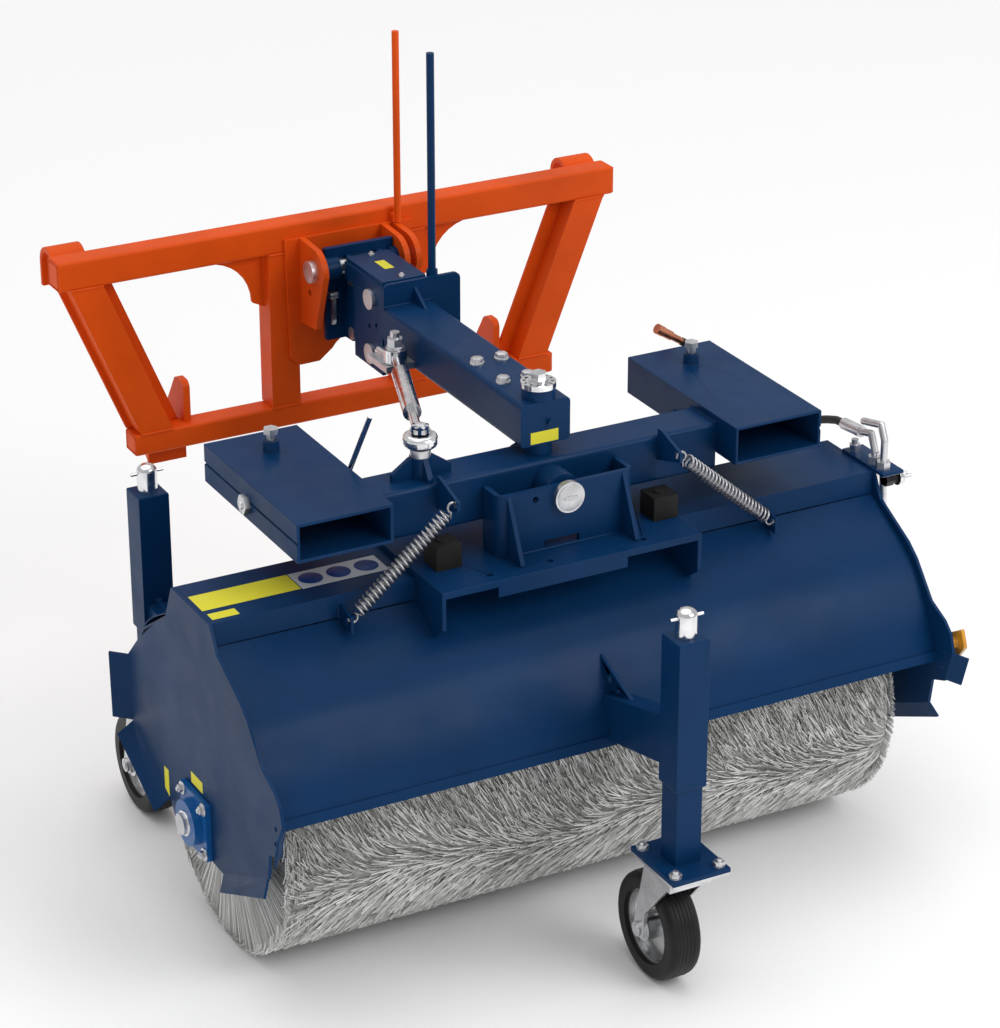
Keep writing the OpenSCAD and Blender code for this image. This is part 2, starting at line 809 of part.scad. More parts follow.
module spring() {
    n = len(spring_path);
    rings = [for (i = [0:n - 1])
        let (
            d = path_dir(spring_path, i),
            u = unit(cross(abs(d[1]) > 0.9 ? [1, 0, 0] : [0, 1, 0], d)),
            v = cross(d, u)
        )
        for (k = [0:5]) spring_path[i] + spring_wire / 2 * (cos(60 * k) * u + sin(60 * k) * v)];
    walls = [for (i = [0:n - 2])
        for (k = [0:5])
            let (
                a = i * 6 + k,
                b = i * 6 + (k + 1) % 6
            )
            each [[a, a + 6, b], [b, a + 6, b + 6]]];
    ends = [for (k = [1:4]) each [[0, k, k + 1], [6 * n - 6, 6 * n - 6 + k + 1, 6 * n - 6 + k]]];
    polyhedron(rings, concat(walls, ends), convexity = 10);
}

module left_spring() {
    place() color(zinc) mirror([1, 0, 0]) spring();
}

module right_spring() {
    place() color(zinc) spring();
}

// Carriage plate on the channel with hanging corner gussets and a bare lip plate
module carriage() {
    front = -chan_y - 106;
    foot = chan_z - 14;
    corner = [[front, hood_top], [front, foot], [front + 38, foot - 28.4], [-chan_y - gap, chan_z + gap],
        [-chan_y - gap, hood_top]];
    place() color(blue) {
        difference() {
            block(-288, 235, front, chan_y - 2, hood_top, carriage_up);
            for (x = [-180, -60, 130]) {
                bar_z(hood_top - 1, carriage_up + 1, x, front + 30, 13);
            }
        }
        side_plate(-288, -280, corner);
        side_plate(227, 235, corner);
        block(-177, 82, front, front + 4, hood_top - 20, hood_top);
    }
}

// Upright bracket on the carriage that holds both ends of the roll pin
module roll_bracket() {
    front = cross_front - 62;
    round = 20;
    half = 138;
    foot = carriage_up;
    top = roll_z + 23;
    rib = [[front, top - 3], [front, foot], [front - 51, foot], [front - 51, foot + 4]];
    place() color(blue) {
        difference() {
            union() {
                block(-half + round, half - round, front, front + 10, foot, top);
                for (s = [-1, 1]) {
                    bar_z(foot, top, s * (half - round), front + round, 2 * round);
                    block(min(s * half, s * (half - 10)), max(s * half, s * (half - 10)), front + round,
                        cross_front - 4, foot, top);
                }
            }
            block(-half + 10, half - 10, front + 10, cross_front, foot - 1, top + 1);
            bar_y(front - 1, front + 11, 0, roll_z, roll_pin_d + 2 * fit);
            bar_y(front - 1, front + 11, -63, top - 19, 12);
            block(-46, 26, front - 1, front + 11, foot + 2, foot + 16);
        }
        side_plate(-120, -112, rib);
        side_plate(112, 120, rib);
        difference() {
            face_plate(cross_back + 12, cross_back + 22, concat([[-70, foot], [70, foot]],
                arc([0, roll_z], 38, 0, 180, 12)));
            bar_y(cross_back, cross_back + 30, 0, roll_z, roll_pin_d + 2 * fit);
        }
    }
}

module roll_pin() {
    place() color(zinc) {
        bar_y(cross_front - 62, cross_back + 30, 0, roll_z, roll_pin_d);
        bar_y(cross_front - 74, cross_front - 62, 0, roll_z, roll_pin_d + 22);
    }
}

// Rubber blocks that limit the roll
module buffers() {
    place() color(black) for (x = [-232, 208]) {
        block(x - 25, x + 25, -107, -57, carriage_up, carriage_up + 45);
    }
    place() color(zinc) for (x = [-232, 208]) {
        bar_z(carriage_up + 45, carriage_up + 49, x, -82, 22);
    }
}

// Top channel, open below, with the lower spring lugs on its front
module channel_lug() {
    z = chan_z;
    hooked_lug(spring_lo[0], [[-chan_y, z + 30], [-chan_y, z + 3], [spring_y + 14, z - 10],
        [spring_y - 12, z - 12], [spring_y - 12, z + 20]], [spring_y, spring_lo[1] + 0.8]);
}

module channel() {
    place() color(blue) {
        difference() {
            block(-plate_in, plate_in, -chan_y, chan_y, chan_z, hood_top);
            block(-plate_in - 1, plate_in + 1, chan_t - chan_y, chan_y - chan_t,
                chan_z - 1, hood_top - chan_t);
        }
        channel_lug();
        mirror([1, 0, 0]) channel_lug();
    }
}

// Folds of the hood sheet from the channel to the lip, as seen at the front
function hood_path() = [[-chan_y, chan_z], [-237, 536], [-262, 500], [-290, 450], [-302, 421], [-313, 391]];

module hood_front_sheet() {
    place() color(blue) side_plate(-plate_in, plate_in, folded(hood_path(), sheet_t));
}

module hood_rear_sheet() {
    place() color(blue) side_plate(-plate_in, plate_in, mirrored(folded(hood_path(), sheet_t)));
}

// Outline of an end plate, seen from the right: y to the back, z up
end_outline = [[-chan_y, hood_top], [-108, chan_z], [-203, 589], [-232, 566], [-286, 502], [-331, 481],
    [-352, 462], [-364, 428], [-345, 363], [-305, 348], [-297, 295], [-103, 204], [-43, 205], [100, 200],
    [128, 240], [181, 255], [298, 320], [302, 456], [253, 506], [150, 590], [116, 608], [chan_y, hood_top]];

// Flared flange along the edge from a to b: it leans outward by tilt and is wide by w
module flange(a, b, w, tilt) {
    root = 3;
    notch = 2;
    translate([plate_out - end_t + 2.2, a[0], a[1]]) rotate([atan2(b[1] - a[1], b[0] - a[0]), 0, 0])
        rotate([0, tilt, 0]) translate([0, notch, -root])
            cube([end_t - 1.5, norm(b - a) - 2 * notch, w + root]);
}

module end_plate() {
    difference() {
        side_plate(plate_in, plate_out, end_outline);
        bar_x(plate_in - 1, plate_out + 1, 0, ground_axle_z, shaft_d + 30);
        for (h = [[-337, 414], [-334, 384]]) {
            bar_x(plate_in - 1, plate_out + 1, h[0], h[1], 9);
        }
    }
    flange([302, 456], [298, 320], 42, 42);
    flange([298, 320], [128, 240], 42, 42);
    flange([-103, 204], [-297, 295], 34, 24);
    flange([-345, 363], [-364, 428], 30, 40);
}

module left_end_plate() {
    place() color(blue) mirror([1, 0, 0]) end_plate();
}

module right_end_plate() {
    place() color(blue) end_plate();
}

// Square flange bearing on the left end plate
module left_bearing() {
    half = 56;
    place() color([0.05, 0.30, 0.58]) difference() {
        union() {
            block(-plate_out - 10, -plate_out, -half, half, ground_axle_z - half, ground_axle_z + half);
            bar_x(-plate_out - 26, -plate_out - 10, 0, ground_axle_z, 86);
        }
        bar_x(-plate_out - 27, -plate_out + 1, 0, ground_axle_z, shaft_d + 2 * fit);
        for (a = [45:90:315]) {
            bar_x(-plate_out - 11, -plate_out + 1, 62 * cos(a), ground_axle_z + 62 * sin(a), 11);
        }
    }
}

// Hydraulic drive motor outside the right end plate
module drive_motor() {
    x = plate_out;
    place() color(black) difference() {
        union() {
            block(x, x + 14, -62, 62, ground_axle_z - 62, ground_axle_z + 62);
            bar_x(x + 14, x + 60, 0, ground_axle_z, 96);
            bar_x(x + 60, x + motor_reach, 0, ground_axle_z, 104);
            block(x + 70, x + 108, -26, 26, ground_axle_z + 40, ground_axle_z + 66);
        }
        bar_x(x - 1, x + 76, 0, ground_axle_z, shaft_d + 2 * fit);
    }
}

// Bulkhead bracket on the hood end with its adaptors, bent pipes and the parked socket
module hose_fittings() {
    x = plate_out + 10;
    z = hood_top;
    place() color(blue) block(plate_in, plate_out + 40, -115, 22, z, z + 6);
    place() color(zinc) {
        hex_z(z + 6, z + 22, x, -64, 24);
        hex_z(z + 6, z + 22, x, -92, 24);
        hex_z(z + 6, z + 20, x, 4, 20);
        bar_z(z + 20, z + 30, x, 4, 14);
        bar_z(z + 22, z + 30, x, -64, 16);
        rod([x, -64, z + 28], [x, -48, z + 61], 14);
        translate([x, -48, z + 61]) sphere(d = 14);
        rod([x, -48, z + 61], [x, -14, z + 52], 14);
        rod([x, -16, z + 52.5], [x, 43, z + 47], 23);
        bar_z(z + 22, z + 63, x, -92, 14);
        translate([x, -92, z + 63]) sphere(d = 14);
        rod([x, -92, z + 63], [x, -79, z + 90], 14);
        translate([x, -79, z + 90]) sphere(d = 14);
        rod([x, -79, z + 90], [x, -20, z + 76], 14);
    }
    place() color(zinc) for (y = [-64, -92]) {
        rod([x, y, z], [x + 70, y < -70 ? -16 : 16, ground_axle_z + 68.6], 14);
    }
    place() color(black) {
        bar_x(plate_out + 8, plate_out + 34, -100, z - 12, 23);
        bar_x(plate_out + 34, plate_out + 44, -100, z - 12, 32);
        bar_x(plate_out + 44, plate_out + 64, -107, z - 12, 7);
        bar_x(plate_out + 44, plate_out + 64, -93, z - 12, 7);
    }
}

// Route of the hose from its ferrule to the parked coupler, chosen by hand
hose_route = [[690, 43, 731], [690, 70, 728], [690, 100, 718], [689, 130, 706], [687, 165, 692],
    [682, 200, 678], [674, 235, 665], [661, 267, 655], [643, 293, 650], [620, 310, 654], [598, 317, 668],
    [580, 318, 690], [565, 316, 715], [551, 313, 742], [537, 309, 770], [522, 305, 798], [507, 301, 823],
    [491, 300, 841.5], [481, 300, 848]];

module hydraulic_hose() {
    shift = [plate_out - 680, 0, hood_top - 684];
    place() color(black) sweep([for (p = hose_route) p + shift], 8, 10, [0.2, 0.1, 1]);
}

// Quick coupler with its dust cap at the end of the hose
module hose_coupler() {
    a = [481 + plate_out - 680, 300, 848 + hood_top - 684];
    u = unit([429, 300, 882] - [481, 300, 848]);
    place() color(zinc) {
        rod(a + gap * u, a + 28 * u, 14);
        rod(a + 28 * u, a + 50 * u, 18);
    }
    place() color([0.75, 0.12, 0.08]) rod(a + 50 * u, a + 66 * u, 20);
}

module side_reflector() {
    place() color([0.85, 0.55, 0.10]) {
        side_plate(plate_out + 14, plate_out + 22, [[-325, 450], [-358, 470], [-371, 437], [-342, 397]]);
        block(plate_out, plate_out + 14, -352, -334, 430, 446);
    }
}

// Outer mast tube with its cap plate, built about the swivel axis
module mast_tube(c) {
    wall = (mast_s - inner_s) / 2 - gap;
    difference() {
        block(c[0] - mast_s / 2, c[0] + mast_s / 2, c[1] - mast_s / 2, c[1] + mast_s / 2, mast_lo, mast_up);
        block(c[0] - mast_s / 2 + wall, c[0] + mast_s / 2 - wall, c[1] - mast_s / 2 + wall,
            c[1] + mast_s / 2 - wall, mast_lo - 1, mast_up - 8);
        bar_z(mast_up - 9, mast_up + 1, c[0], c[1], 20 + 2 * fit);
    }
}

module front_mast() {
    end = castor_front[1] + mast_s / 2;
    place() color(blue) {
        mast_tube(castor_front);
        side_plate(-20, 20, [[-276.3, 475], [-290.3, 450], [-302.3, 421], [-310.4, 399], [end, 441],
            [end, 535]]);
        difference() {
            side_plate(-4, 4, [[-237.5, 536], [-262.3, 500.2], [-276.3, 475.2], [-351, 495.6]]);
            bar_x(-5, 5, -276, 502, 12);
            bar_x(-5, 5, -306, 493, 9);
        }
    }
}

module rear_mast() {
    c = castor_rear;
    end = c[1] - mast_s / 2;
    place() color(blue) {
        mast_tube(c);
        side_plate(c[0] - 20, c[0] + 20, [[281.8, 465], [290.3, 450], [302.3, 421], [311.6, 395],
            [end, 400], [end, 476]]);
        side_plate(c[0] - 4, c[0] + 4, [[347, 470], [end, 476], [end, 487]]);
    }
}

// Lifting screw with its capped head and cross pin
module spindle(c) {
    color(chrome) {
        bar_z(470, mast_up + 1, c[0], c[1], 20);
        bar_z(mast_up + gap, mast_up + 40, c[0], c[1], 38);
        translate([c[0], c[1], mast_up + 40]) scale([1, 1, 0.7]) sphere(d = 38);
        translate([c[0] - 32, c[1], mast_up + 36]) rotate([0, 90, 0]) cylinder(h = 64, d = 6);
    }
}

module front_spindle() {
    place() spindle(castor_front);
}

module rear_spindle() {
    place() spindle(castor_rear);
}

// Inner mast tube with its foot plates, bolts and king pin
module castor_post(c) {
    x = c[0];
    y = c[1];
    half = inner_s / 2;
    color(blue) {
        tube_z(x, y, inner_lo, inner_up, inner_s, 4);
        difference() {
            block(x - half, x + half, y - half, y + half, inner_up - 10, inner_up);
            bar_z(inner_up - 11, inner_up + 1, x, y, 20 + 2 * fit);
        }
        block(x - 57.5, x + 57.5, y - foot_half, y + foot_half, foot_lo, inner_lo);
    }
    color(zinc) {
        block(x - 57.5, x + 57.5, y - foot_half, y + foot_half, swivel_z, foot_lo);
        for (i = [-43.5, 43.5]) {
            for (j = [-56, 56]) {
                hex_z(inner_lo, inner_lo + 8, x + i, y + j, 17);
                bar_z(inner_lo + 8, inner_lo + 13, x + i, y + j, 10);
            }
        }
        bar_z(214, swivel_z, x, y, 20);
        hex_z(210, 223.7, x, y, 26);
    }
}

module front_castor_post() {
    place() castor_post(castor_front);
}

module rear_castor_post() {
    place() castor_post(castor_rear);
}

// Swivel fork: crown, two legs and the axle
module fork(c) {
    leg_in = wheel_w / 2 + 5;
    leg_t = 6;
    leg = concat([[c[1] - 36, 236], [c[1] + 52, 236]], arc([c[1] + trail, axle_z], 18, 0, -150, 8),
        [[c[1] + trail - 20, axle_z + 40]]);
    color(zinc) {
        difference() {
            union() {
                bar_z(230, swivel_z - gap, c[0], c[1], 74);
                block(c[0] - leg_in - leg_t, c[0] + leg_in + leg_t, c[1] - 36, c[1] + 50, 224, 236);
            }
            bar_z(223, swivel_z, c[0], c[1], 20 + 2 * fit);
        }
        side_plate(c[0] + leg_in, c[0] + leg_in + leg_t, leg);
        side_plate(c[0] - leg_in - leg_t, c[0] - leg_in, leg);
        bar_x(c[0] - leg_in - leg_t - 8, c[0] + leg_in + leg_t + 8, c[1] + trail, axle_z, axle_d);
        bar_x(c[0] - leg_in - leg_t - 6, c[0] - leg_in - leg_t, c[1] + trail, axle_z, 27);
        bar_x(c[0] + leg_in + leg_t, c[0] + leg_in + leg_t + 6, c[1] + trail, axle_z, 27);
    }
}

module front_fork() {
    place() fork(castor_front);
}

module rear_fork() {
    place() fork(castor_rear);
}

// Wheel: solid tyre with rounded shoulders on a dished rim with a bored hub
module wheel(c) {
    r = wheel_d / 2;
    w = wheel_w / 2;
    hub = w + 4.7;
    bore = axle_d / 2 + fit;
    color(black) translate([c[0], c[1] + trail, axle_z]) rotate([0, 90, 0]) rotate_extrude()
        polygon(concat([[bore, -hub], [25, -hub], [25, -10], [r - 34, -10], [r - 30, -w], [r - 12, -w]],
            arc([r - 12, -w + 12], 12, -90, 0, 4), arc([r - 12, w - 12], 12, 0, 90, 4),
            [[r - 30, w], [r - 34, 10], [25, 10], [25, hub], [bore, hub]]));
}

module front_wheel() {
    place() wheel(castor_front);
}

module rear_wheel() {
    place() wheel(castor_rear);
}

// Brush shaft with the discs that carry the bristle backing
module brush_core() {
    place() color(zinc) {
        bar_x(-plate_out - shaft_reach, plate_out + 74, 0, ground_axle_z, shaft_d);
        for (x = [-brush_half + 10, -320, 0, 320, brush_half - 10]) {
            bar_x(x - 5, x + 5, 0, ground_axle_z, 2 * backing_in - 1.6);
        }
    }
}

// One tuft: a three-sided tapered strand that grows out of the backing
module tuft(x, a) {
    r0 = backing_r - 6;
    r1 = brush_r - 1;
    pts = concat([for (k = [0:2]) [tuft_w * cos(120 * k), tuft_w * sin(120 * k), r0]],
        [for (k = [0:2]) [tuft_w * 1.2 * cos(120 * k), tuft_w * 1.2 * sin(120 * k), r1]]);
    translate([x, 0, ground_axle_z]) rotate([a, 0, 0]) polyhedron(pts,
        [[0, 1, 2], [3, 5, 4], [0, 3, 1], [1, 3, 4], [1, 4, 2], [2, 4, 5], [2, 5, 0], [0, 5, 3]]);
}

module brush_bristles() {
    pitch = (2 * brush_half - 30) / (tuft_rows - 1);
    place() color([0.75, 0.75, 0.72]) {
        difference() {
            translate([-brush_half, 0, ground_axle_z]) rotate([0, 90, 0])
                cylinder(h = 2 * brush_half, r = backing_r, $fn = 24);
            translate([-brush_half - 1, 0, ground_axle_z]) rotate([0, 90, 0])
                cylinder(h = 2 * brush_half + 2, r = backing_in, $fn = 24);
        }
        for (i = [0:tuft_rows - 1]) {
            for (k = [0:tufts_round - 1]) {
                tuft(-brush_half + 15 + i * pitch, 360 * (k + i / 4) / tufts_round);
            }
        }
    }
}

hitch_top_beam();
hitch_lower_beam();
hitch_diagonals();
hitch_uprights();
hitch_centre_plate();
hitch_ears();
hooks();
lower_bracket_left();
lower_bracket_right();
indicator_rod();
head_carrier();
ear_pin();
rear_link_pins();
latch_lever();
upper_link();
lower_link();
front_link_pins();
head_sides();
head_front_plate();
boom();
strut_anchor();
strut_rear();
strut_front();
cross_beam();
left_pocket();
right_pocket();
yaw_pin();
strut_bracket();
hose_guide();
left_clamp_bolt();
right_clamp_bolt();
left_spring();
right_spring();
carriage();
roll_bracket();
roll_pin();
buffers();
channel();
hood_front_sheet();
hood_rear_sheet();
left_end_plate();
right_end_plate();
left_bearing();
drive_motor();
hose_fittings();
hydraulic_hose();
hose_coupler();
side_reflector();
front_mast();
front_spindle();
front_castor_post();
front_fork();
front_wheel();
rear_mast();
rear_spindle();
rear_castor_post();
rear_fork();
rear_wheel();
brush_core();
brush_bristles();
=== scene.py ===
"""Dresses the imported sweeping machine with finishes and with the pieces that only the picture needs.

Pieces are placed in millimetres about the brush axis, with +X to the drive motor, +Y to the hitch
and z 0 on the ground.
"""
import json
import math
import random

import bmesh
import bpy
from mathutils import Matrix, Vector


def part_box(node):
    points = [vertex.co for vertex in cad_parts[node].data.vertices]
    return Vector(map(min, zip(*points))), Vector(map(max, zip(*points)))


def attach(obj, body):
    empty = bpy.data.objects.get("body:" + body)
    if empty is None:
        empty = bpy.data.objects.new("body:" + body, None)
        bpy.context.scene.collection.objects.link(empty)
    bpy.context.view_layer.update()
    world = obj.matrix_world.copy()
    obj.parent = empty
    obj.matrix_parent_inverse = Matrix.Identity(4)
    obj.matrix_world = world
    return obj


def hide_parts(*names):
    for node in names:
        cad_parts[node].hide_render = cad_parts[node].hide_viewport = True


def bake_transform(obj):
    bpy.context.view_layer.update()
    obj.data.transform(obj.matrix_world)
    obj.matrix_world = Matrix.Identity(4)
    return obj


bl_info = {
    "name": "Sweeping machine dressing",
    "version": (1, 0, 0),
    "blender": (4, 5, 0),
    "location": "View3D > Sidebar > Sweeper",
    "description": "Finishes and fine pieces for a mounted sweeping machine",
    "category": "Object",
}

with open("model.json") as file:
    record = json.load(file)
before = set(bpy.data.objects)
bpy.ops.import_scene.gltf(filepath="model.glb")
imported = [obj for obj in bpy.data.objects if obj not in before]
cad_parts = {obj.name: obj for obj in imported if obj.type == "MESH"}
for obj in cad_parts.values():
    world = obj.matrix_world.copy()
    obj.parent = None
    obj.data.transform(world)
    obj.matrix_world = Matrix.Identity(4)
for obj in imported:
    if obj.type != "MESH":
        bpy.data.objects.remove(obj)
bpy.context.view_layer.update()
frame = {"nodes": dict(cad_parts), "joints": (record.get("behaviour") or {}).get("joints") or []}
NODES = frame["nodes"]
JOINTS = {joint["name"]: joint for joint in frame["joints"]}
MM = 0.001
BRUSH_AXIS = Vector(JOINTS["brush_spin"]["pos_m"])
FINISHES = {}


def at(x, y, z):
    """A place in the machine's working axes, in millimetres, as a point of the frame in metres."""
    return Vector((BRUSH_AXIS.x + x * MM, BRUSH_AXIS.y + y * MM, z * MM))


def low(node, axis):
    """The lowest coordinate of a CAD node along an axis."""
    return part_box(node)[0][axis]


def high(node, axis):
    """The highest coordinate of a CAD node along an axis."""
    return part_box(node)[1][axis]


# Handling of pieces

def take(*pieces):
    """Selects only these pieces, the first of them active."""
    bpy.ops.object.select_all(action="DESELECT")
    for piece in pieces:
        piece.select_set(True)
    bpy.context.view_layer.objects.active = pieces[0]


def settle(piece):
    """Applies the piece's place, so that its object sits at the origin."""
    take(piece)
    bpy.ops.object.transform_apply(location=True, rotation=True, scale=True)
    return piece


def join(pieces):
    """Joins pieces into the first of them."""
    take(*pieces)
    if len(pieces) > 1:
        bpy.ops.object.join()
    return pieces[0]


def copy_of(piece, matrix):
    """A copy of a settled piece with its own mesh, moved by a matrix."""
    twin = piece.copy()
    twin.data = piece.data.copy()
    bpy.context.scene.collection.objects.link(twin)
    twin.data.transform(matrix)
    return twin


def drop(piece):
    """Removes a pattern piece that was only copied."""
    bpy.data.objects.remove(piece, do_unlink=True)


# Largest angles between faces that are shaded as one surface, in degrees
FLAT_SHADING = 35.0
ROUND_SHADING = 60.0


def dress(piece, name, finish, body, smooth=FLAT_SHADING):
    """Names a piece, settles it, gives it its finish and lets it ride on its body, if it has one."""
    piece.name = name
    piece.data.name = name
    settle(piece)
    piece.data.materials.clear()
    piece.data.materials.append(FINISHES[finish])
    take(piece)
    bpy.ops.object.shade_smooth_by_angle(angle=math.radians(smooth))
    if body:
        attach(piece, body)
    return piece


def turn_to(axis):
    """The rotation that takes +Z to an axis."""
    return Vector((0.0, 0.0, 1.0)).rotation_difference(Vector(axis)).to_matrix().to_4x4()


def slab(low_corner, high_corner, bevel=1.0, segments=2):
    """A plate or block between two corners in millimetres, with rounded edges."""
    lo = at(*low_corner)
    hi = at(*high_corner)
    bpy.ops.object.select_all(action="DESELECT")
    bpy.ops.mesh.primitive_cube_add(size=1.0, location=(lo + hi) / 2)
    piece = bpy.context.object
    piece.scale = hi - lo
    settle(piece)
    bpy.ops.object.mode_set(mode="EDIT")
    bpy.ops.mesh.select_all(action="SELECT")
    bpy.ops.mesh.bevel(offset=bevel * MM, segments=segments, affect="EDGES")
    bpy.ops.object.mode_set(mode="OBJECT")
    return piece


def disc(radius, depth, sides, bevel):
    """A round or many-sided blank on the origin, standing on z 0, with its top edge rounded."""
    bpy.ops.object.select_all(action="DESELECT")
    bpy.ops.mesh.primitive_cylinder_add(vertices=sides, radius=radius * MM, depth=depth * MM,
                                        location=(0, 0, depth * MM / 2))
    piece = settle(bpy.context.object)
    bpy.ops.object.mode_set(mode="EDIT")
    bpy.ops.mesh.select_all(action="DESELECT")
    bpy.ops.object.mode_set(mode="OBJECT")
    top = depth * MM - 1e-6
    for edge in piece.data.edges:
        ends = [piece.data.vertices[v].co for v in edge.vertices]
        edge.select = all(end.z > top for end in ends)
    bpy.ops.object.mode_set(mode="EDIT")
    bpy.ops.mesh.bevel(offset=bevel * MM, segments=2, affect="EDGES")
    bpy.ops.object.mode_set(mode="OBJECT")
    return piece


def lifted(piece, height):
    """The settled piece moved up by a height in millimetres."""
    piece.data.transform(Matrix.Translation((0, 0, height * MM)))
    return piece


def placed(piece, place):
    """A piece modelled on the origin, moved to a place in millimetres."""
    piece.data.transform(Matrix.Translation(at(*place)))
    return piece


def bolt(across, head, washer=2.0):
    """A hexagon bolt head on its washer, with the end of its stud, standing on z 0."""
    stud = 3.0
    sink = 0.5
    parts = []
    if washer:
        parts.append(disc(across * 0.95, washer, 28, 0.4))
    parts.append(lifted(disc(across / math.sqrt(3), head, 6, 0.9), washer))
    parts.append(lifted(disc(across * 0.3, stud + sink, 16, 0.6), washer + head - sink))
    return join(parts)


def flange_bolt(flange, thick, across, head, stud=0.0, tip=0.0):
    """A hexagon on a round flange with the end of its stud, standing on z 0.

    The flange and the stud are given by their radius, the hexagon by its width across flats.
    """
    parts = [disc(flange, thick, 32, 0.5), disc(across / math.sqrt(3), head, 6, 0.9)]
    if stud:
        parts.append(disc(stud, tip, 20, 0.6))
    return join(parts)


def spread(pattern, places, axis):
    """Copies a pattern to each place, turned to the axis, as one piece."""
    turn = turn_to(axis)
    copies = [copy_of(pattern, Matrix.Translation(at(*place)) @ turn) for place in places]
    drop(pattern)
    return join(copies)


def linked(name, data):
    """A new object in the scene with this mesh or curve."""
    piece = bpy.data.objects.new(name, data)
    bpy.context.scene.collection.objects.link(piece)
    return piece


def drawn(points, radius, name, smoothness):
    """A round bar along points in millimetres, as a curve with closed ends."""
    curve = bpy.data.curves.new(name, "CURVE")
    curve.dimensions = "3D"
    curve.bevel_depth = radius * MM
    curve.bevel_resolution = smoothness
    curve.use_fill_caps = True
    spline = curve.splines.new("POLY")
    spline.points.add(len(points) - 1)
    for point, place in zip(spline.points, points):
        point.co = (*at(*place), 1.0)
    return linked(name, curve)


def line(points, radius, name, smoothness=3):
    """A round bar along points in millimetres, as a closed mesh."""
    take(drawn(points, radius, name, smoothness))
    bpy.ops.object.convert(target="MESH")
    return bpy.context.object


def built(mesh, name):
    """A new object in the scene from an edit mesh, its normals turned outward."""
    bmesh.ops.recalc_face_normals(mesh, faces=mesh.faces)
    data = bpy.data.meshes.new(name)
    mesh.to_mesh(data)
    mesh.free()
    return linked(name, data)


# Finishes

class Recipe:
    """The nodes of one material: a shader on object coordinates, and what feeds it."""

    def __init__(self, name):
        self.material = bpy.data.materials.new(name)
        self.material.use_nodes = True
        self.nodes = self.material.node_tree.nodes
        self.links = self.material.node_tree.links
        self.shader = self.nodes["Principled BSDF"]
        self.place = self.nodes.new("ShaderNodeTexCoord").outputs["Object"]
        self.height = None
        FINISHES[name] = self.material

    def set(self, **values):
        """Sets constant inputs of the shader, named with underscores for spaces."""
        for name, value in values.items():
            self.shader.inputs[name.replace("_", " ")].default_value = value

    def noise(self, scale, detail=2.0, rough=0.5, stretch=None):
        """A noise pattern, stretched along the axes if asked."""
        node = self.nodes.new("ShaderNodeTexNoise")
        node.inputs["Scale"].default_value = scale
        node.inputs["Detail"].default_value = detail
        node.inputs["Roughness"].default_value = rough
        source = self.place
        if stretch:
            mapping = self.nodes.new("ShaderNodeMapping")
            mapping.inputs["Scale"].default_value = stretch
            self.links.new(source, mapping.inputs["Vector"])
            source = mapping.outputs["Vector"]
        self.links.new(source, node.inputs["Vector"])
        return node.outputs["Fac"]

    def ramp(self, source, stops):
        """A colour ramp from a value, with (place, colour) stops."""
        node = self.nodes.new("ShaderNodeValToRGB")
        ends = node.color_ramp.elements
        ends[0].position, ends[0].color = stops[0][0], (*stops[0][1], 1.0)
        ends[1].position, ends[1].color = stops[-1][0], (*stops[-1][1], 1.0)
        for place, colour in stops[1:-1]:
            ends.new(place).color = (*colour, 1.0)
        self.links.new(source, node.inputs["Fac"])
        return node.outputs["Color"]

    def mix(self, factor, first, second):
        """A colour between two, by a factor."""
        node = self.nodes.new("ShaderNodeMix")
        node.data_type = "RGBA"
        self.links.new(factor, node.inputs["Factor"])
        for value, socket in ((first, node.inputs[6]), (second, node.inputs[7])):
            if isinstance(value, tuple):
                socket.default_value = (*value, 1.0)
            else:
                self.links.new(value, socket)
        return node.outputs[2]

    def span(self, source, low_value, high_value, start=0.3, stop=0.7):
        """A value mapped to a range."""
        node = self.nodes.new("ShaderNodeMapRange")
        node.inputs["From Min"].default_value = start
        node.inputs["From Max"].default_value = stop
        node.inputs["To Min"].default_value = low_value
        node.inputs["To Max"].default_value = high_value
        self.links.new(source, node.inputs["Value"])
        return node.outputs["Result"]

    def feed(self, socket, source):
        """Feeds a shader input."""
        self.links.new(source, self.shader.inputs[socket])

    def bump(self, source, depth, strength=1.0):
        """Adds a layer of bump, its depth in millimetres."""
        node = self.nodes.new("ShaderNodeBump")
        node.inputs["Strength"].default_value = strength
        node.inputs["Distance"].default_value = depth * MM
        self.links.new(source, node.inputs["Height"])
        if self.height:
            self.links.new(self.height, node.inputs["Normal"])
        self.height = node.outputs["Normal"]
        self.links.new(self.height, self.shader.inputs["Normal"])

    def facing_up(self):
        """How much a surface faces up, for dust that settles there and the painted highlight on top faces."""
        geometry = self.nodes.new("ShaderNodeNewGeometry")
        split = self.nodes.new("ShaderNodeSeparateXYZ")
        self.links.new(geometry.outputs["Normal"], split.inputs["Vector"])
        return split.outputs["Z"]

    def times(self, first, second):
        """The product of two values."""
        node = self.nodes.new("ShaderNodeMath")
        node.operation = "MULTIPLY"
        self.links.new(first, node.inputs[0])
        self.links.new(second, node.inputs[1])
        return node.outputs[0]

    def vector(self, operation, source, constant=None):
        """A step of vector arithmetic on a source, with a constant vector where it needs one."""
        node = self.nodes.new("ShaderNodeVectorMath")
        node.operation = operation
        self.links.new(source, node.inputs[0])
        if constant:
            node.inputs[1].default_value = constant
        return node


def shade(colour, factor):
    """A colour made lighter or darker."""
    return tuple(min(1.0, channel * factor) for channel in colour)


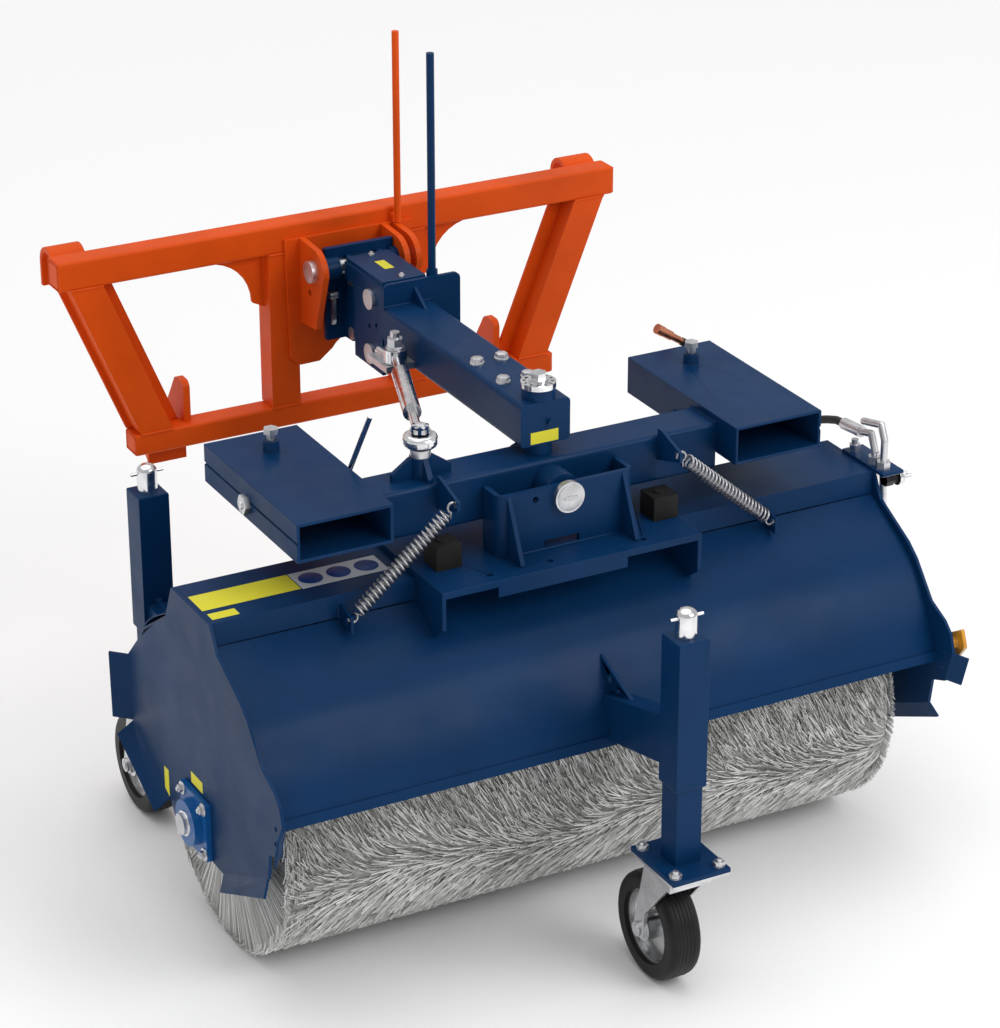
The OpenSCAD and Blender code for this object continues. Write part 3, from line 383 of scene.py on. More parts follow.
def paint(name, colour, dust_and_highlight, gloss, coat):
    """Sprayed paint: slight orange peel, a paler tint on what faces up that is partly dust and partly painted
    highlight, small dull patches.
    """
    recipe = Recipe(name)
    tone = recipe.ramp(recipe.noise(5.0, 4.0), [(0.3, shade(colour, 0.86)), (0.7, shade(colour, 1.12))])
    speck = recipe.span(recipe.noise(55.0, 5.0, 0.7), 0.0, 1.0, 0.52, 0.72)
    # Paler specks on faces that point up: dust, and a painted highlight of the tops
    lie = recipe.span(recipe.facing_up(), 0.0, 0.10, 0.55, 1.0)
    recipe.feed("Base Color", recipe.mix(recipe.times(speck, lie), tone, dust_and_highlight))
    recipe.feed("Roughness", recipe.span(recipe.noise(14.0, 3.0), gloss, gloss + 0.12))
    recipe.set(Coat_Weight=coat, Coat_Roughness=0.18, Specular_IOR_Level=0.10)
    recipe.bump(recipe.noise(7.0, 2.0), 0.4, 0.30)
    recipe.bump(recipe.noise(260.0, 2.0), 0.05, 0.5)


def metal(name, colour, rough, grain):
    """Bare or plated metal with a fine grain."""
    recipe = Recipe(name)
    tones = [(0.3, shade(colour, 0.75)), (0.7, shade(colour, 1.1))]
    recipe.feed("Base Color", recipe.ramp(recipe.noise(grain, 4.0, 0.6), tones))
    recipe.feed("Roughness", recipe.span(recipe.noise(grain * 2.5, 3.0, 0.6), rough, rough + 0.18))
    recipe.set(Metallic=1.0)
    recipe.bump(recipe.noise(grain * 6.0, 2.0, 0.5), 0.04, 0.6)


def rubber(name, colour, rough, grain):
    """Dull moulded rubber or plastic with a little dust."""
    recipe = Recipe(name)
    tone = recipe.ramp(recipe.noise(grain, 5.0, 0.65), [(0.35, colour), (0.75, shade(colour, 1.8))])
    recipe.feed("Base Color", tone)
    recipe.feed("Roughness", recipe.span(recipe.noise(grain * 2.0, 2.0), rough, rough + 0.15))
    recipe.set(Specular_IOR_Level=0.25)
    recipe.bump(recipe.noise(grain * 8.0, 2.0), 0.12, 0.6)


def mix_finishes(settings):
    """Makes every finish of the machine."""
    # The third colour of each paint is its paler top tint: dust together with painted highlight
    paint("blue_paint", tuple(settings.blue), (0.03, 0.07, 0.16), 0.34, 0.03)
    paint("orange_paint", tuple(settings.orange), (0.80, 0.22, 0.06), 0.42, 0.03)
    paint("black_paint", (0.012, 0.012, 0.014), (0.16, 0.16, 0.16), 0.36, 0.15)
    paint("bearing_blue", (0.006, 0.10, 0.33), (0.25, 0.32, 0.42), 0.30, 0.40)
    paint("label_yellow", (0.72, 0.66, 0.04), (0.8, 0.78, 0.5), 0.38, 0.15)
    paint("label_grey", (0.55, 0.58, 0.62), (0.7, 0.7, 0.7), 0.38, 0.15)
    paint("label_blue", (0.010, 0.045, 0.20), (0.3, 0.35, 0.45), 0.36, 0.15)
    paint("ink", (0.010, 0.010, 0.012), (0.1, 0.1, 0.1), 0.45, 0.0)
    metal("zinc", (0.68, 0.68, 0.70), 0.28, 24.0)
    metal("copper", (0.72, 0.28, 0.16), 0.30, 30.0)
    metal("chrome", (0.80, 0.80, 0.82), 0.10, 30.0)
    metal("spring_steel", (0.46, 0.46, 0.48), 0.26, 60.0)
    rubber("black_rubber", (0.010, 0.0095, 0.009), 0.55, 18.0)
    rubber("hose_rubber", (0.014, 0.014, 0.015), 0.42, 40.0)
    wheel_finish()
    bristle_finish()
    amber_finish()


# Distance from the axle, in metres, at which a wheel turns from rim to tyre
RIM_EDGE = 0.0675
TYRE_EDGE = 0.0685


def wheel_finish():
    """Rubber tyre round a bright pressed rim, told apart by the distance from the axle."""
    for side in ("front", "rear"):
        recipe = Recipe(side + "_tyre")
        axle = JOINTS[side + "_wheel_spin"]["pos_m"]
        shift = recipe.vector("SUBTRACT", recipe.place, axle).outputs["Vector"]
        flat = recipe.vector("MULTIPLY", shift, (0.0, 1.0, 1.0)).outputs["Vector"]
        far = recipe.vector("LENGTH", flat).outputs["Value"]
        outer = recipe.span(far, 0.0, 1.0, RIM_EDGE, TYRE_EDGE)
        blacks = [(0.35, (0.004, 0.004, 0.0045)), (0.8, (0.011, 0.011, 0.011))]
        greys = [(0.3, (0.52, 0.53, 0.54)), (0.7, (0.74, 0.74, 0.75))]
        tyre = recipe.ramp(recipe.noise(20.0, 5.0, 0.65), blacks)
        rim = recipe.ramp(recipe.noise(26.0, 4.0), greys)
        recipe.feed("Base Color", recipe.mix(outer, rim, tyre))
        recipe.feed("Roughness", recipe.span(outer, 0.24, 0.46, 0.0, 1.0))
        recipe.feed("Metallic", recipe.span(outer, 1.0, 0.0, 0.0, 1.0))
        recipe.set(Specular_IOR_Level=0.25)
        recipe.bump(recipe.noise(160.0, 2.0), 0.10, 0.6)


def bristle_finish():
    """Pale nylon bristle, each strand with a tone of its own, and the mass behind it darkened with painted
    shade.
    """
    recipe = Recipe("bristle")
    tone = recipe.nodes.new("ShaderNodeAttribute")
    tone.attribute_name = "tone"
    shades = [(0.0, (0.26, 0.26, 0.25)), (0.35, (0.54, 0.54, 0.53)), (1.0, (0.88, 0.88, 0.87))]
    pale = recipe.ramp(tone.outputs["Fac"], shades)
    stain = recipe.ramp(recipe.noise(9.0, 3.0), [(0.3, (0.74, 0.74, 0.72)), (0.6, (1.0, 1.0, 1.0))])
    blend = recipe.nodes.new("ShaderNodeMix")
    blend.data_type = "RGBA"
    blend.blend_type = "MULTIPLY"
    blend.inputs["Factor"].default_value = 0.7
    recipe.links.new(pale, blend.inputs[6])
    recipe.links.new(stain, blend.inputs[7])
    recipe.feed("Base Color", blend.outputs[2])
    recipe.feed("Roughness", recipe.span(recipe.noise(30.0), 0.42, 0.60))
    recipe.set(Specular_IOR_Level=0.45)
    recipe.bump(recipe.noise(240.0, 2.0), 0.10, 0.5)
    # The mass below the tips is coloured darker than the strands: painted shade deep among the bristles
    deep = Recipe("bristle_deep_painted_shade")
    deep.feed("Base Color", deep.ramp(deep.noise(50.0, 4.0, 0.7, (0.6, 3.0, 3.0)),
                                      [(0.3, (0.24, 0.24, 0.23)), (0.7, (0.52, 0.52, 0.50))]))
    deep.feed("Roughness", deep.span(deep.noise(40.0), 0.6, 0.85))
    deep.bump(deep.noise(220.0, 3.0, 0.6, (0.5, 2.5, 2.5)), 1.2, 0.9)


def amber_finish():
    """Amber reflector plastic with fine prism cells."""
    recipe = Recipe("amber")
    tones = [(0.3, (0.62, 0.25, 0.010)), (0.7, (0.85, 0.42, 0.03))]
    recipe.feed("Base Color", recipe.ramp(recipe.noise(90.0, 3.0), tones))
    check = recipe.nodes.new("ShaderNodeTexVoronoi")
    check.inputs["Scale"].default_value = 420.0
    recipe.links.new(recipe.place, check.inputs["Vector"])
    recipe.feed("Roughness", recipe.span(check.outputs["Distance"], 0.14, 0.26, 0.0, 1.0))
    recipe.set(Coat_Weight=0.6, Transmission_Weight=0.15)
    recipe.bump(check.outputs["Distance"], 0.35, 0.8)


# CAD nodes that are kept, by finish
NODES_OF_FINISH = {
    "orange_paint": (
        "hitch_top_beam", "hitch_lower_beam", "hitch_diagonals", "hitch_uprights", "hitch_centre_plate",
        "hitch_ears", "hooks", "lower_bracket_left", "lower_bracket_right", "indicator_rod"),
    "blue_paint": (
        "head_carrier", "upper_link", "lower_link", "head_sides", "head_front_plate", "boom", "cross_beam",
        "left_pocket", "right_pocket", "strut_bracket", "carriage", "roll_bracket", "channel",
        "hood_front_sheet", "hood_rear_sheet", "left_end_plate", "right_end_plate", "front_mast",
        "rear_mast", "front_castor_post", "rear_castor_post"),
    "zinc": (
        "ear_pin", "rear_link_pins", "latch_lever", "front_link_pins", "strut_anchor", "left_clamp_bolt",
        "right_clamp_bolt", "roll_pin", "hose_fittings", "front_fork", "rear_fork", "brush_core"),
    "chrome": ("hose_guide", "strut_rear", "strut_front", "yaw_pin", "front_spindle", "rear_spindle"),
    "copper": ("hose_coupler",),
    "black_rubber": ("buffers",),
    "black_paint": ("drive_motor",),
    "bearing_blue": ("left_bearing",),
    "amber": ("side_reflector",),
    "front_tyre": ("front_wheel",),
    "rear_tyre": ("rear_wheel",),
}

# Width of the rounded edges that catch the light, in millimetres
SOFT_EDGES = {
    "hitch_top_beam": 4.0, "hitch_lower_beam": 4.0, "hitch_diagonals": 1.5, "hitch_uprights": 1.5,
    "hitch_centre_plate": 1.0, "hooks": 1.2, "left_pocket": 3.0, "right_pocket": 3.0, "channel": 4.0,
    "carriage": 1.0, "front_mast": 3.0, "rear_mast": 3.0, "buffers": 5.0, "left_end_plate": 0.8,
    "right_end_plate": 0.8, "side_reflector": 3.5, "head_sides": 1.0, "front_castor_post": 0.8,
    "rear_castor_post": 0.8,
}
WELD_REACH = 0.02
SHARP_ANGLE = 40


def finish_node(name, finish):
    """Gives a CAD node its finish."""
    node = NODES[name]
    if node.material_slots:
        for slot in node.material_slots:
            slot.material = FINISHES[finish]
    else:
        node.data.materials.append(FINISHES[finish])


def soften(node, width):
    """Closes a CAD node's seams and rounds its sharp edges, by modifiers."""
    weld = node.modifiers.new("Weld", "WELD")
    weld.merge_threshold = WELD_REACH * MM
    bevel = node.modifiers.new("Bevel", "BEVEL")
    bevel.width = width * MM
    bevel.segments = 2
    bevel.limit_method = "ANGLE"
    bevel.angle_limit = math.radians(SHARP_ANGLE)
    bevel.harden_normals = False


class SweeperSettings(bpy.types.PropertyGroup):
    """Sizes and colours of the dressing."""

    blue: bpy.props.FloatVectorProperty(
        name="Blue", description="Colour of the blue paint", subtype="COLOR", size=3, min=0.0, max=1.0,
        default=(0.0018, 0.0280, 0.094))
    orange: bpy.props.FloatVectorProperty(
        name="Orange", description="Colour of the orange paint", subtype="COLOR", size=3, min=0.0, max=1.0,
        default=(0.70, 0.078, 0.005))
    tuft_rows: bpy.props.IntProperty(
        name="Bristle rows", description="Rows of bristle tips along the brush", default=128, min=40, max=200)
    tufts_round: bpy.props.IntProperty(
        name="Bristles round", description="Bristle tips in one row round the brush", default=230, min=60,
        max=300)
    bead: bpy.props.FloatProperty(
        name="Weld bead", description="Radius of a weld bead, in millimetres", default=2.2, min=1.0, max=4.0)
    light: bpy.props.FloatProperty(
        name="Light", description="Strength of the studio light", default=1.0, min=0.2, max=3.0)


class SWEEPER_OT_finishes(bpy.types.Operator):
    """Paint, plating and rounded edges of the CAD nodes"""

    bl_idname = "sweeper.finishes"
    bl_label = "Finishes"

    def execute(self, context):
        mix_finishes(context.scene.sweeper)
        for finish, names in NODES_OF_FINISH.items():
            for name in names:
                finish_node(name, finish)
        for name, width in SOFT_EDGES.items():
            soften(NODES[name], width)
        return {"FINISHED"}


# Brush: radii, lengths and widths in millimetres, angles in degrees

BRUSH_TIP = 261.0
BRUSH_MASS = 247.0
STRAND_ROOT = 240.0
STRAND_BEND = BRUSH_MASS + 6.0
STRAND_LEAN = 62.0
STRAND_WIDTH = 1.8
STRAND_TURN = 64
TIP_SPREAD = 3.5
END_CLEARANCE = 2.0
FIELD_PARTS = 4
FAN_STRANDS = 1500
FAN_ROOT = 78.0
FAN_MIDDLE = 170.0
FAN_WIDTH = 1.3
FAN_DEPTH = 6.0
FAN_TIP_SPREAD = 2.5
MASS_INSET = 8.0
SEED = 11

# Shares of a strand's spacing, lean, width or tone, and spreads of its turn and bow in radians
PLACE_SHARE = 0.6
LEAN_SHARES = (0.65, 1.2)
BEND_SHARE = 0.4
UPRIGHT_SHARE = 0.1
TAPER_SHARE = 0.25
DEPTH_SHARE = 0.8
TURN_SPREAD = 0.13
FAN_BOW = 0.008
FAN_DARKEST = 0.35

# The line where the tips change sides: its lean in degrees, and each wave's height, pace and start
FLOW_LEAN = -18.0
FLOW_WAVES = ((0.09, 0.011, 0.0), (0.04, 0.043, 1.0))
FLOW_SHARPNESS = 2.6


def flow(x, angle):
    """Which way the bristle tips lie at a place on the brush, from -1 to 1.

    The sign changes along wavy lines a quarter turn apart.
    """
    wave = math.radians(FLOW_LEAN)
    for height, pace, start in FLOW_WAVES:
        wave += height * math.sin(x / MM * pace + start)
    return math.tanh(FLOW_SHARPNESS * math.sin(2.0 * (angle - wave)))


def round_brush(x, angle, radius):
    """A point on the brush, at an angle above the front, in metres."""
    reach = radius * MM
    return Vector((x, BRUSH_AXIS.y - reach * math.cos(angle), BRUSH_AXIS.z + reach * math.sin(angle)))


def add_strand(mesh, points, width, tone, layer):
    """One flat-sided bristle through three points, with its tone."""
    rings = []
    for index, point in enumerate(points):
        run = (points[min(index + 1, 2)] - points[max(index - 1, 0)]).normalized()
        out = (point - Vector((point.x, BRUSH_AXIS.y, BRUSH_AXIS.z))).normalized()
        side = run.cross(out).normalized() * width * MM * (1.0 - TAPER_SHARE * index)
        lift = side.cross(run).normalized() * width * MM * DEPTH_SHARE
        ring = [mesh.verts.new(point + side), mesh.verts.new(point - side), mesh.verts.new(point + lift)]
        for vertex in ring:
            vertex[layer] = tone
        rings.append(ring)
    for first, second in zip(rings, rings[1:]):
        for k in range(3):
            mesh.faces.new((first[k], first[(k + 1) % 3], second[(k + 1) % 3], second[k]))
    mesh.faces.new(rings[0][::-1])
    mesh.faces.new(rings[2])


def strand_field(name, start, stop, ends, rows, round_count, chance):
    """Bent bristle tips over one stretch of the brush, as one mesh; those at its ends stand up."""
    mesh = bmesh.new()
    layer = mesh.verts.layers.float.new("tone")
    for row in range(rows):
        for k in range(round_count):
            angle = 2 * math.pi * (k + chance.uniform(-PLACE_SHARE, PLACE_SHARE)) / round_count
            x = start + (stop - start) * (row + 0.5 + chance.uniform(-PLACE_SHARE, PLACE_SHARE)) / rows
            turn = flow(x, angle) * math.radians(STRAND_TURN) + chance.gauss(0.0, TURN_SPREAD)
            reach = STRAND_LEAN * chance.uniform(*LEAN_SHARES)
            along = -reach * math.cos(turn) * MM
            across = reach * math.sin(turn) / BRUSH_TIP
            if not ends[0] < x + along < ends[1] or not ends[0] < x < ends[1]:
                along *= UPRIGHT_SHARE
                x = min(max(x, ends[0] + END_CLEARANCE * MM), ends[1] - END_CLEARANCE * MM)
            tip = BRUSH_TIP - abs(chance.gauss(0.0, TIP_SPREAD))
            points = [round_brush(x, angle, STRAND_ROOT),
                      round_brush(x + BEND_SHARE * along, angle + BEND_SHARE * across, STRAND_BEND),
                      round_brush(x + along, angle + across, tip)]
            add_strand(mesh, points, STRAND_WIDTH, chance.random(), layer)
    return built(mesh, name)


def end_fan(name, x, way, chance):
    """Straight bristles seen side-on at one end of the brush, from near the shaft out to the tips."""
    mesh = bmesh.new()
    layer = mesh.verts.layers.float.new("tone")
    for k in range(FAN_STRANDS):
        angle = 2 * math.pi * (k + chance.uniform(-0.5, 0.5)) / FAN_STRANDS
        depth = x + way * chance.uniform(-FAN_DEPTH * MM, 0.0)
        bow = chance.gauss(0.0, FAN_BOW)
        points = [round_brush(depth, angle, FAN_ROOT), round_brush(depth, angle + bow * 0.3, FAN_MIDDLE),
                  round_brush(depth, angle + bow, BRUSH_TIP - abs(chance.gauss(0.0, FAN_TIP_SPREAD)))]
        tone = FAN_DARKEST + (1.0 - FAN_DARKEST) * chance.random()
        add_strand(mesh, points, FAN_WIDTH, tone, layer)
    return built(mesh, name)


class SWEEPER_OT_bristles(bpy.types.Operator):
    """Dense bristles lying over in two directions, in place of the plain strands"""

    bl_idname = "sweeper.bristles"
    bl_label = "Bristles"

    def execute(self, context):
        settings = context.scene.sweeper
        chance = random.Random(SEED)
        start = low("brush_bristles", 0)
        stop = high("brush_bristles", 0)
        rows = settings.tuft_rows // FIELD_PARTS
        for part in range(FIELD_PARTS):
            name = "bristles_%d" % (part + 1)
            begin = start + (stop - start) * part / FIELD_PARTS
            finish = start + (stop - start) * (part + 1) / FIELD_PARTS
            piece = strand_field(name, begin, finish, (start, stop), rows, settings.tufts_round, chance)
            dress(piece, name, "bristle", "brush", ROUND_SHADING)
            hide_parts("brush_bristles")
        for name, x, way in (("bristle_end_left", start + MM, -1), ("bristle_end_right", stop - MM, 1)):
            piece = end_fan(name, x, way, chance)
            dress(piece, name, "bristle", "brush", ROUND_SHADING)
            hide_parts("brush_bristles")
        # The inner mass of bristles under the tips, coloured darker with painted shade
        mass = disc(BRUSH_MASS, (stop - start) / MM - 2 * MASS_INSET, 96, 3.0)
        place = Matrix.Translation((start + MASS_INSET * MM, BRUSH_AXIS.y, BRUSH_AXIS.z))
        mass.data.transform(place @ turn_to((1, 0, 0)))
        core = dress(mass, "bristle_mass", "bristle_deep_painted_shade", "brush")
        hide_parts("brush_bristles")
        return {"FINISHED"}


# Springs, in millimetres and degrees
SPRING_WIRE = 2.5
SPRING_RADIUS = 11.5
SPRING_HOOK = 9.0
SPRING_END = 24.0
SPRING_TURNS = 24
HOOK_START = 230
HOOK_SWEEP = 260
HOOK_STEPS = 16
STEPS_A_TURN = 18
SPRING_TOP = (224.0, -117.0, 826.0)
SPRING_FOOT = (432.0, -117.0, 647.0)


def spring_points(side):
    """The wire's centreline: hook, curls and hook, in millimetres."""
    top = Vector((SPRING_TOP[0], SPRING_TOP[2]))
    foot = Vector((SPRING_FOOT[0], SPRING_FOOT[2]))
    run = (foot - top).normalized()
    length = (foot - top).length

    def place(s, w, q):
        point = top + run * s + Vector((-run.y, run.x)) * w
        return (side * point.x, SPRING_TOP[1] + q, point.y)

    r = SPRING_HOOK
    turn = [math.radians(HOOK_START - HOOK_SWEEP * i / HOOK_STEPS) for i in range(HOOK_STEPS + 1)]
    first = [place(r + r * math.cos(a), r * math.sin(a), 0) for a in turn]
    last = [place(length - r - r * math.cos(a), -r * math.sin(a), 0) for a in reversed(turn)]
    body = length - 2 * SPRING_END
    steps = SPRING_TURNS * STEPS_A_TURN
    curls = []
    for i in range(steps + 1):
        a = 2 * math.pi * i / STEPS_A_TURN
        across = -SPRING_RADIUS * math.cos(a)
        deep = SPRING_RADIUS * math.sin(a)
        curls.append(place(SPRING_END + body * i / steps, across, deep))
    return first + curls + last


class SWEEPER_OT_springs(bpy.types.Operator):
    """The two tension springs, drawn out smoothly between their lugs"""

    bl_idname = "sweeper.springs"
    bl_label = "Springs"

    def execute(self, context):
        for side, node in ((-1, "left_spring"), (1, "right_spring")):
            piece = line(spring_points(side), SPRING_WIRE, node + "_wire")
            dress(piece, node + "_wire", "spring_steel", None, ROUND_SHADING)
            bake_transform(piece)
            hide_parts(node)
        return {"FINISHED"}


# Hose: the same route as in the part's source
HOSE_ROUTE = ((690, 43, 731), (690, 70, 728), (690, 100, 718), (689, 130, 706), (687, 165, 692),
              (682, 200, 678), (674, 235, 665), (661, 267, 655), (643, 293, 650), (620, 310, 654),
              (598, 317, 668), (580, 318, 690), (565, 316, 715), (551, 313, 742), (537, 309, 770),
              (522, 305, 798), (507, 301, 823), (491, 300, 841.5), (481, 300, 848))
HOSE_RADIUS = 8.0


class SWEEPER_OT_hose(bpy.types.Operator):
    """The hydraulic hose from its ferrule to the coupler behind the pocket"""

    bl_idname = "sweeper.hose"
    bl_label = "Hose"

    def execute(self, context):
        piece = drawn(HOSE_ROUTE, HOSE_RADIUS, "supply_hose", 6)
        piece.data.splines[0].use_smooth = True
        piece.data.materials.append(FINISHES["hose_rubber"])
        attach(piece, "hood")
        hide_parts("hydraulic_hose")
        return {"FINISHED"}


# Labels without any lettering, in millimetres
STICKER = 0.6
END_PLATE_FACE = -680.0
CAP_SET_BACK = 8.0


def label(name, low_corner, high_corner, finish, body):
    """A thin sticker with rounded edges."""
    dress(slab(low_corner, high_corner, 0.25, 1), name, finish, body)


class SWEEPER_OT_labels(bpy.types.Operator):
    """Bare stickers where the machine carries its information panels"""

    bl_idname = "sweeper.labels"
    bl_label = "Labels"

    def execute(self, context):
        top = high("channel", 2) / MM
        face = top + STICKER
        label("label_channel_long", (-669, -30, top), (-482, 32, face), "label_yellow", "hood")
        label("label_channel_small", (-667, -69, top), (-616, -45, face), "label_yellow", "hood")
        label("label_channel_panel", (-480, -32, top), (-312, 32, face), "label_grey", "hood")
        discs = spread(disc(22.0, 0.5, 40, 0.1), [(x, 0, face) for x in (-450, -396, -342)], (0, 0, 1))
        dress(discs, "label_channel_discs", "label_blue", "hood")
        lid = high("head_sides", 2) / MM
        label("label_head_lid", (-10, 584, lid), (10, 630, lid + STICKER), "label_yellow", "head")
        cap = (low("boom", 1) - BRUSH_AXIS.y) / MM + CAP_SET_BACK
        label("label_boom_end", (-30, cap - STICKER, 863.5), (26, cap, 886), "label_yellow", "head")
        side = END_PLATE_FACE
        label("label_end_plate_back", (side - STICKER, 131, 243), (side, 151, 297), "label_yellow", "hood")
        label("label_end_plate_front", (side - STICKER, -25, 326), (side, 25, 348), "label_yellow", "hood")
        return {"FINISHED"}


# Fasteners and fittings, in millimetres: bolts round the shaft as x and reach, the parked socket as y
# and rise from the channel's top, posts as name, x and y, a plate's bolts as reach in x and y and height
SHAFT_HEIGHT = 262
BEARING_BOLTS = (-690, 45)
MOTOR_BOLTS = (694, 50)
BOOM_BOLT_DROP = 20.0
POCKET_NUT_INSET = 10.0
POCKET_NUT_RISE = 29.0
ROLL_PIN_HEIGHT = 792
PARKED_SOCKET = (-100, -12)
POST_PLACES = (("front", 0, -523), ("rear", -567, 454))
PLATE_REACH = (57.9, 72.9)
PLATE_HEIGHTS = (254.9, 260.2)
PLATE_BOLTS = (43.5, 56, 268)
STRUT_STUD = (-235, -5)
COLLAR_FOOT = 876
NUT_FOOT = 921
TEETH = 6
TOOTH_HALF_WIDTH = 3.6
TOOTH_REACH = (8.2, 14.6)
TOOTH_HEIGHTS = (929.0, 933.6)
RIB_RADIUS = 98.8
RIB_HALF_WIDTH = 2.0
RIB_PLACES = (-15.0, -7.5, 0.0, 7.5, 15.0)


def plated(piece, name, body):
    """Dresses a piece in zinc plating."""
    dress(piece, name, "zinc", body)


def corners(x, reach):
    """The four corners of a square about the brush shaft's line."""
    return [(x, reach * y, SHAFT_HEIGHT + reach * z) for y in (-1, 1) for z in (-1, 1)]


class SWEEPER_OT_fasteners(bpy.types.Operator):
    """Bolts, nuts and plated plates, the parked socket, the bearing's insert and the tyre ribs"""

    bl_idname = "sweeper.fasteners"
    bl_label = "Fasteners"

    def execute(self, context):
        plated(spread(bolt(13.0, 7.0), corners(*BEARING_BOLTS), (-1, 0, 0)), "bearing_bolts", "hood")
        plated(spread(bolt(17.0, 9.0), corners(*MOTOR_BOLTS), (1, 0, 0)), "motor_bolts", "hood")
        lid = high("head_sides", 2) / MM
        plated(spread(bolt(11.0, 5.0, 0.0), [(0, 664, lid), (0, 534, lid)], (0, 0, 1)), "lid_bolts", "head")
        boom_top = high("boom", 2) / MM - BOOM_BOLT_DROP
        places = [(x, y, boom_top) for x in (-25, 25) for y in (80, 180)]
        plated(spread(flange_bolt(13.4, 4.4, 19.7, 12.3), places, (0, 0, 1)), "boom_bolts", "head")
        nut_x = (low("left_pocket", 0) - BRUSH_AXIS.x) / MM + POCKET_NUT_INSET
        nut_z = low("left_pocket", 2) / MM + POCKET_NUT_RISE
        nut = flange_bolt(15.0, 1.0, 32.0, 10.6, 8.0, 14.0)
        plated(spread(nut, [(nut_x, 89, nut_z)], (-1, 0, 0)), "pocket_nut", "swing_frame")
        self.socket()
        self.foot_plates()
        self.castle_nut()
        self.pin_face()
        insert = join([disc(24.0, 3.5, 40, 0.8), disc(19.0, 9.0, 40, 1.2)])
        insert_x = (low("left_bearing", 0) - BRUSH_AXIS.x) / MM
        insert = spread(insert, [(insert_x, 0, SHAFT_HEIGHT)], (-1, 0, 0))
        dress(insert, "bearing_insert", "chrome", "hood")
        self.tyre_ribs()
        return {"FINISHED"}

    def socket(self):
        """The bulkhead plate at the channel's right end and the parked socket with its bright tip."""
        top = high("channel", 2) / MM
        plate = slab((673.7, -115.3, top + 0.1), (720.4, 22.3, top + 6.4), 0.8)
        dress(plate, "bulkhead_plate", "blue_paint", "hood")
        y, rise = PARKED_SOCKET
        socket = flange_bolt(12.3, 28.0, 25.0, 18.0, 10.0, 30.0)
        socket = spread(socket, [(686, y, top + rise)], (1, 0, 0))
        dress(socket, "parked_socket", "black_paint", "hood")
        rim = spread(flange_bolt(17.0, 8.0, 27.0, 3.0), [(714, y, top + rise)], (1, 0, 0))
        dress(rim, "socket_tip", "chrome", "hood")

    def foot_plates(self):
        """The foot plate of each castor post with its four bolts."""
        wide, deep = PLATE_REACH
        foot, top = PLATE_HEIGHTS
        bolt_x, bolt_y, bolt_z = PLATE_BOLTS
        plate = slab((-wide, -deep, foot), (wide, deep, top), 0.8)
        places = [(x, y, bolt_z) for x in (-bolt_x, bolt_x) for y in (-bolt_y, bolt_y)]
        heads = spread(flange_bolt(10.6, 1.2, 19.7, 8.4, 5.3, 13.6), places, (0, 0, 1))
        pattern = join([plate, heads])
        for word, x, y in POST_PLACES:
            piece = copy_of(pattern, Matrix.Translation((x * MM, y * MM, 0)))
            plated(piece, word + "_foot_plate", word + "_post")
        drop(pattern)

    def castle_nut(self):
        """The castle nut on the stud of the swing strut, over its collar."""
        x, y = STRUT_STUD
        collar = placed(disc(18.4, 14.4, 36, 0.8), (x, y, COLLAR_FOOT))
        nut = placed(disc(17.9, 8.4, 6, 0.6), (x, y, NUT_FOOT))
        stud = placed(disc(9.3, 15.6, 28, 0.9), (x, y, NUT_FOOT))
        inner, outer = TOOTH_REACH
        foot, top = TOOTH_HEIGHTS
        low_corner = (x - TOOTH_HALF_WIDTH, y + inner, foot)
        tooth = slab(low_corner, (x + TOOTH_HALF_WIDTH, y + outer, top), 0.5, 1)
        middle = Matrix.Translation(at(x, y, 0))
        turns = [Matrix.Rotation(2 * math.pi * step / TEETH, 4, "Z") for step in range(TEETH)]
        crown = [copy_of(tooth, middle @ turn @ middle.inverted()) for turn in turns]
        drop(tooth)
        plated(join([nut, stud, collar] + crown), "castle_nut", "swing_frame")

    def pin_face(self):
        """Raised rim, locking bar and centre on the face of the roll pin."""
        face = (low("roll_pin", 1) - BRUSH_AXIS.y) / MM
        bar = slab((-13.0, -2.6, 0.8), (13.0, 2.6, 3.4), 0.8)
        bar.data.transform(Matrix.Translation(-at(0, 0, 0)))
        pattern = join([disc(25.0, 1.4, 40, 0.6), disc(5.0, 2.4, 20, 0.6), bar])
        plated(spread(pattern, [(0, face, ROLL_PIN_HEIGHT)], (0, -1, 0)), "roll_pin_face", "hood")

    def tyre_ribs(self):
        """Fine ribs round the tread of both castor wheels."""
        bpy.ops.object.select_all(action="DESELECT")
        bpy.ops.mesh.primitive_torus_add(major_radius=RIB_RADIUS * MM, minor_radius=RIB_HALF_WIDTH * MM,
                                         major_segments=96, minor_segments=8, location=(0, 0, 0))
        rib = settle(bpy.context.object)
        rib.data.transform(turn_to((1, 0, 0)))
        for word in ("front", "rear"):
            axle = Vector(JOINTS[word + "_wheel_spin"]["pos_m"])
            places = [Matrix.Translation(axle + Vector((x * MM, 0, 0))) for x in RIB_PLACES]
            ribs = join([copy_of(rib, place) for place in places])
            dress(ribs, word + "_tyre_ribs", word + "_tyre", word + "_wheel")
        drop(rib)


# Hood, in millimetres: y and z along the outer face of the front sheet, from its top down
HOOD_LINE = ((-84, 637), (-237, 536), (-262, 500), (-290, 450), (-302, 421), (-313, 391))
LIP_DEPTH = 18.0
LIP_STANDS_OUT = 3.8
SKIN_HALF = 0.9
SKIN_CLEARANCE = 0.2


